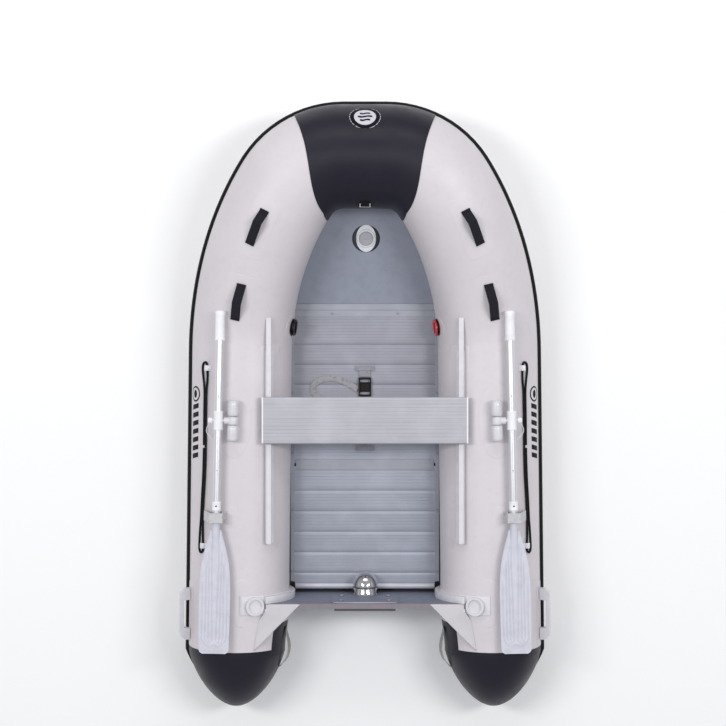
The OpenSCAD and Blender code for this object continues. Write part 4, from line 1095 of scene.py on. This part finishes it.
def make_oars():
    """Each oar: its tube with a ferrule and rivets, the grip and collar, and the ribbed blade."""
    frame_in = oar_frame()
    m = frame_in @ shift(OAR_X) @ spin(-90, "X")
    shaft = [
        (0.014, SHAFT_END), (0.0155, SHAFT_END), (SHAFT_R, 0.4345), (SHAFT_R, BLADE_START),
        (0.014, BLADE_START), (0.014, SHAFT_END),
    ]
    ferrule = [
        (SHAFT_R, -0.362), (FERRULE_R, -0.362), (0.0185, -0.3605), (0.0185, -0.357), (FERRULE_R, -0.3555),
        (FERRULE_R, -0.3325), (0.0185, -0.331), (0.0185, -0.3275), (FERRULE_R, -0.326), (SHAFT_R, -0.326),
    ]
    grip = [
        (0.0002, 0.443), (0.013, 0.4428), (0.0182, 0.4405), (0.0204, 0.436), (0.0205, 0.428), (0.0196, 0.422),
    ]
    for i in range(11):
        y = 0.416 - i * 0.0076
        grip += [(0.0196, y), (0.0188, y - 0.0018), (0.0188, y - 0.0032), (0.0196, y - 0.0052)]
    grip += [(0.0205, 0.331), (0.0205, 0.3235), (0.0196, 0.322), (0.0162, 0.322)]
    collar = both_ends([
        (0.0162, 0.038), (0.0186, 0.038), (0.0195, 0.0365), (0.0195, 0.032), (0.0184, 0.0305), (0.0184, 0),
    ])
    turned = (
        ("shaft_", shaft, "shaft", 64, "shaft_aluminium", "oar_shaft_"),
        ("ferrule_", ferrule, "grip", 56, "white_plastic", "oar_shaft_"),
        ("grip_", grip, "grip", 64, "white_plastic", "oar_grip_"),
        ("collar_", collar, "grip", 64, "white_plastic", "oar_grip_"),
    )
    rivet = [(0.0002, 0.0012), (0.0022, 0.0011), (0.0034, 0.0004), (0.0036, -0.0006), (0.0002, -0.0008)]
    rivets = ((-0.344, FERRULE_R, "black_plastic"), (0.1, SHAFT_R, "steel"), (-0.2, SHAFT_R, "steel"))

    def skin(sign):
        rows = []
        for y in steps(BLADE_START - 0.03, BLADE_TIP + 0.0006, 0.0055):
            xs = [u * blade_half(y) for u in np.linspace(-1, 1, 97)]
            rows.append([frame_in @ Vector((OAR_X + x, y, sign * blade_height(x, y))) for x in xs])
        return rows

    socket = []
    for i in range(24):
        t = i / 23
        y = BLADE_START + 0.004 - 0.16 * t
        rx, rz = 0.0166 - 0.004 * t, 0.0166 - 0.0146 * smooth(t)
        socket.append([frame_in @ Vector((OAR_X + rx * cos(k * 12), y, rz * sin(k * 12))) for k in range(30)])
    faces = skin(1), skin(-1)
    for side, port in SIDES:
        body, node = "oar_" + side, "oar_blade_" + side
        for name, profile, look, n, slot, stem in turned:
            stands(lathe(name + side, profile, m, look, body, port, n), slot, stem + side)
        for y, top, look in rivets:
            place = frame_in @ shift(OAR_X, y, top)
            stands(lathe(f"rivet_{round(y * 1000)}_{side}", rivet, place, look, body, port, 20), look)
        stands(shell("blade_" + side, *faces, "blade", body, port, 60), "blade_plastic", node)
        stands(loft("socket_" + side, socket, "blade", body, port, 50), "blade_plastic", node)


# ---------- transom drain ----------

DRAIN_X, DRAIN_Z = 0.002, 0.164


def make_drain():
    """The drain's chromed bowl inside the transom, with its turning cap."""
    m = shift(DRAIN_X, TRANSOM_Y + 0.0003, DRAIN_Z) @ spin(-90, "X")
    bowl = [
        (0.0172, 0.0002), (0.053, 0.0002), (0.054, 0.0012), (0.054, 0.0048), (0.053, 0.0062), (0.0518, 0.012),
        (0.0495, 0.024), (0.0485, 0.0305), (0.0475, 0.032), (0.0172, 0.032), (0.0172, 0.0002),
    ]
    stands(lathe("drain_bowl", bowl, m, "chrome", n=96), "white_plastic", "drain_housing")
    dome = [(0.0163, 0.006), (0.0163, 0.0334), (0.0526, 0.0334), (0.053, 0.0345)]
    dome += [(0.053 * cos(a), 0.0345 + 0.0625 * sin(a)) for a in range(6, 90, 6)] + [(0.0002, 0.097)]
    stands(lathe("drain_dome", dome, m, "chrome", "drain_plug", n=96), "white_plastic", "drain_plug")


# ---------- the CAD's own pieces that stay ----------

# A look, a material slot, and the nodes that take them with the bevel of their edges
KEPT = (
    ("patch", "tube_fabric", {"bow_baffle": 0}),
    ("black_rubber", "black_webbing", {"bow_ring_patch": 0.0015}),
    # The keel tube takes the dark fabric, a painted shade.
    ("keel", "bottom_fabric", {"keel_tube": 0}),
    ("grey_plastic", "grey_plastic", {"keel_valve_cap": 0.0008}),
    ("board", "bow_board", {"bow_board": 0.0022}),
    ("profile", "brushed_aluminium", {"floor_profiles": 0.0005, "floor_stringers": 0.0006}),
    ("bar", "brushed_aluminium", {"floor_aft_bar": 0.0006}),
    ("trim", "steel", {"floor_screws": 0.0004, "transom_bolts": 0.0008, "tank_strap_loops": 0.0008}),
    ("transom", "transom_board", {"transom_board": 0.0015}),
    ("transom", "brushed_aluminium", {"transom_inner_plate": 0.0012}),
    ("pad", "black_plastic", {"transom_outer_pad": 0.002}),
    ("white_plastic", "white_plastic", {"bow_ring": 0, "seat_end_caps": 0.0015, "side_line_holders": 0.0008}),
    ("light_plastic", "light_plastic", {
        "transom_holders": 0.0016, "seat_tracks": 0.0008, "stern_handles": 0.003,
        "oarlock_pin_port": 0.0015, "oarlock_pin_starboard": 0.0015,
    }),
    ("black_plastic", "black_plastic", {
        "floor_end_caps": 0.001, "seat_sliders": 0.0008, "tube_valves": 0.001, "valve_cap_port": 0.0012,
        "strap_buckle": 0.0012, "buckle_lever": 0.0008,
    }),
    ("red_plastic", "red_plastic", {"valve_cap_starboard": 0.0012}),
    ("strap_web", "grey_webbing", {
        "oar_strap_bases": 0.0005, "oar_strap_port": 0.0005, "oar_strap_starboard": 0.0005,
    }),
)


def dress_cad():
    """Gives each CAD piece that stays its look and softened edges."""
    for look, slot, bevels in KEPT:
        for name, width in bevels.items():
            made = nodes[name]
            made.data.materials.clear()
            made.data.materials.append(MAT[look])
            made.modifiers.new("weld", "WELD").merge_threshold = 0.00001
            if width:
                add_bevel(made, width, 32)


# ---------- assembly ----------

make_lines()
make_tubes()
make_cones()
make_bow()
make_strake()
make_bottom()
make_floor()
make_bench()
make_keel_valve()
make_transom()
make_patches()
make_handles()
make_webbing()
make_oarlocks()
make_oars()
make_drain()
dress_cad()

bpy.ops.mesh.primitive_plane_add(size=GROUND_SIZE, location=(0, 0, cad_lo.z - GROUND_GAP))
ground = bpy.context.object
ground.name = "ground"
ground_paint = Look("ground_paint", (0.98, 0.98, 0.985), 0.9, Specular_IOR_Level=0.1)
ground.data.materials.append(ground_paint.material)
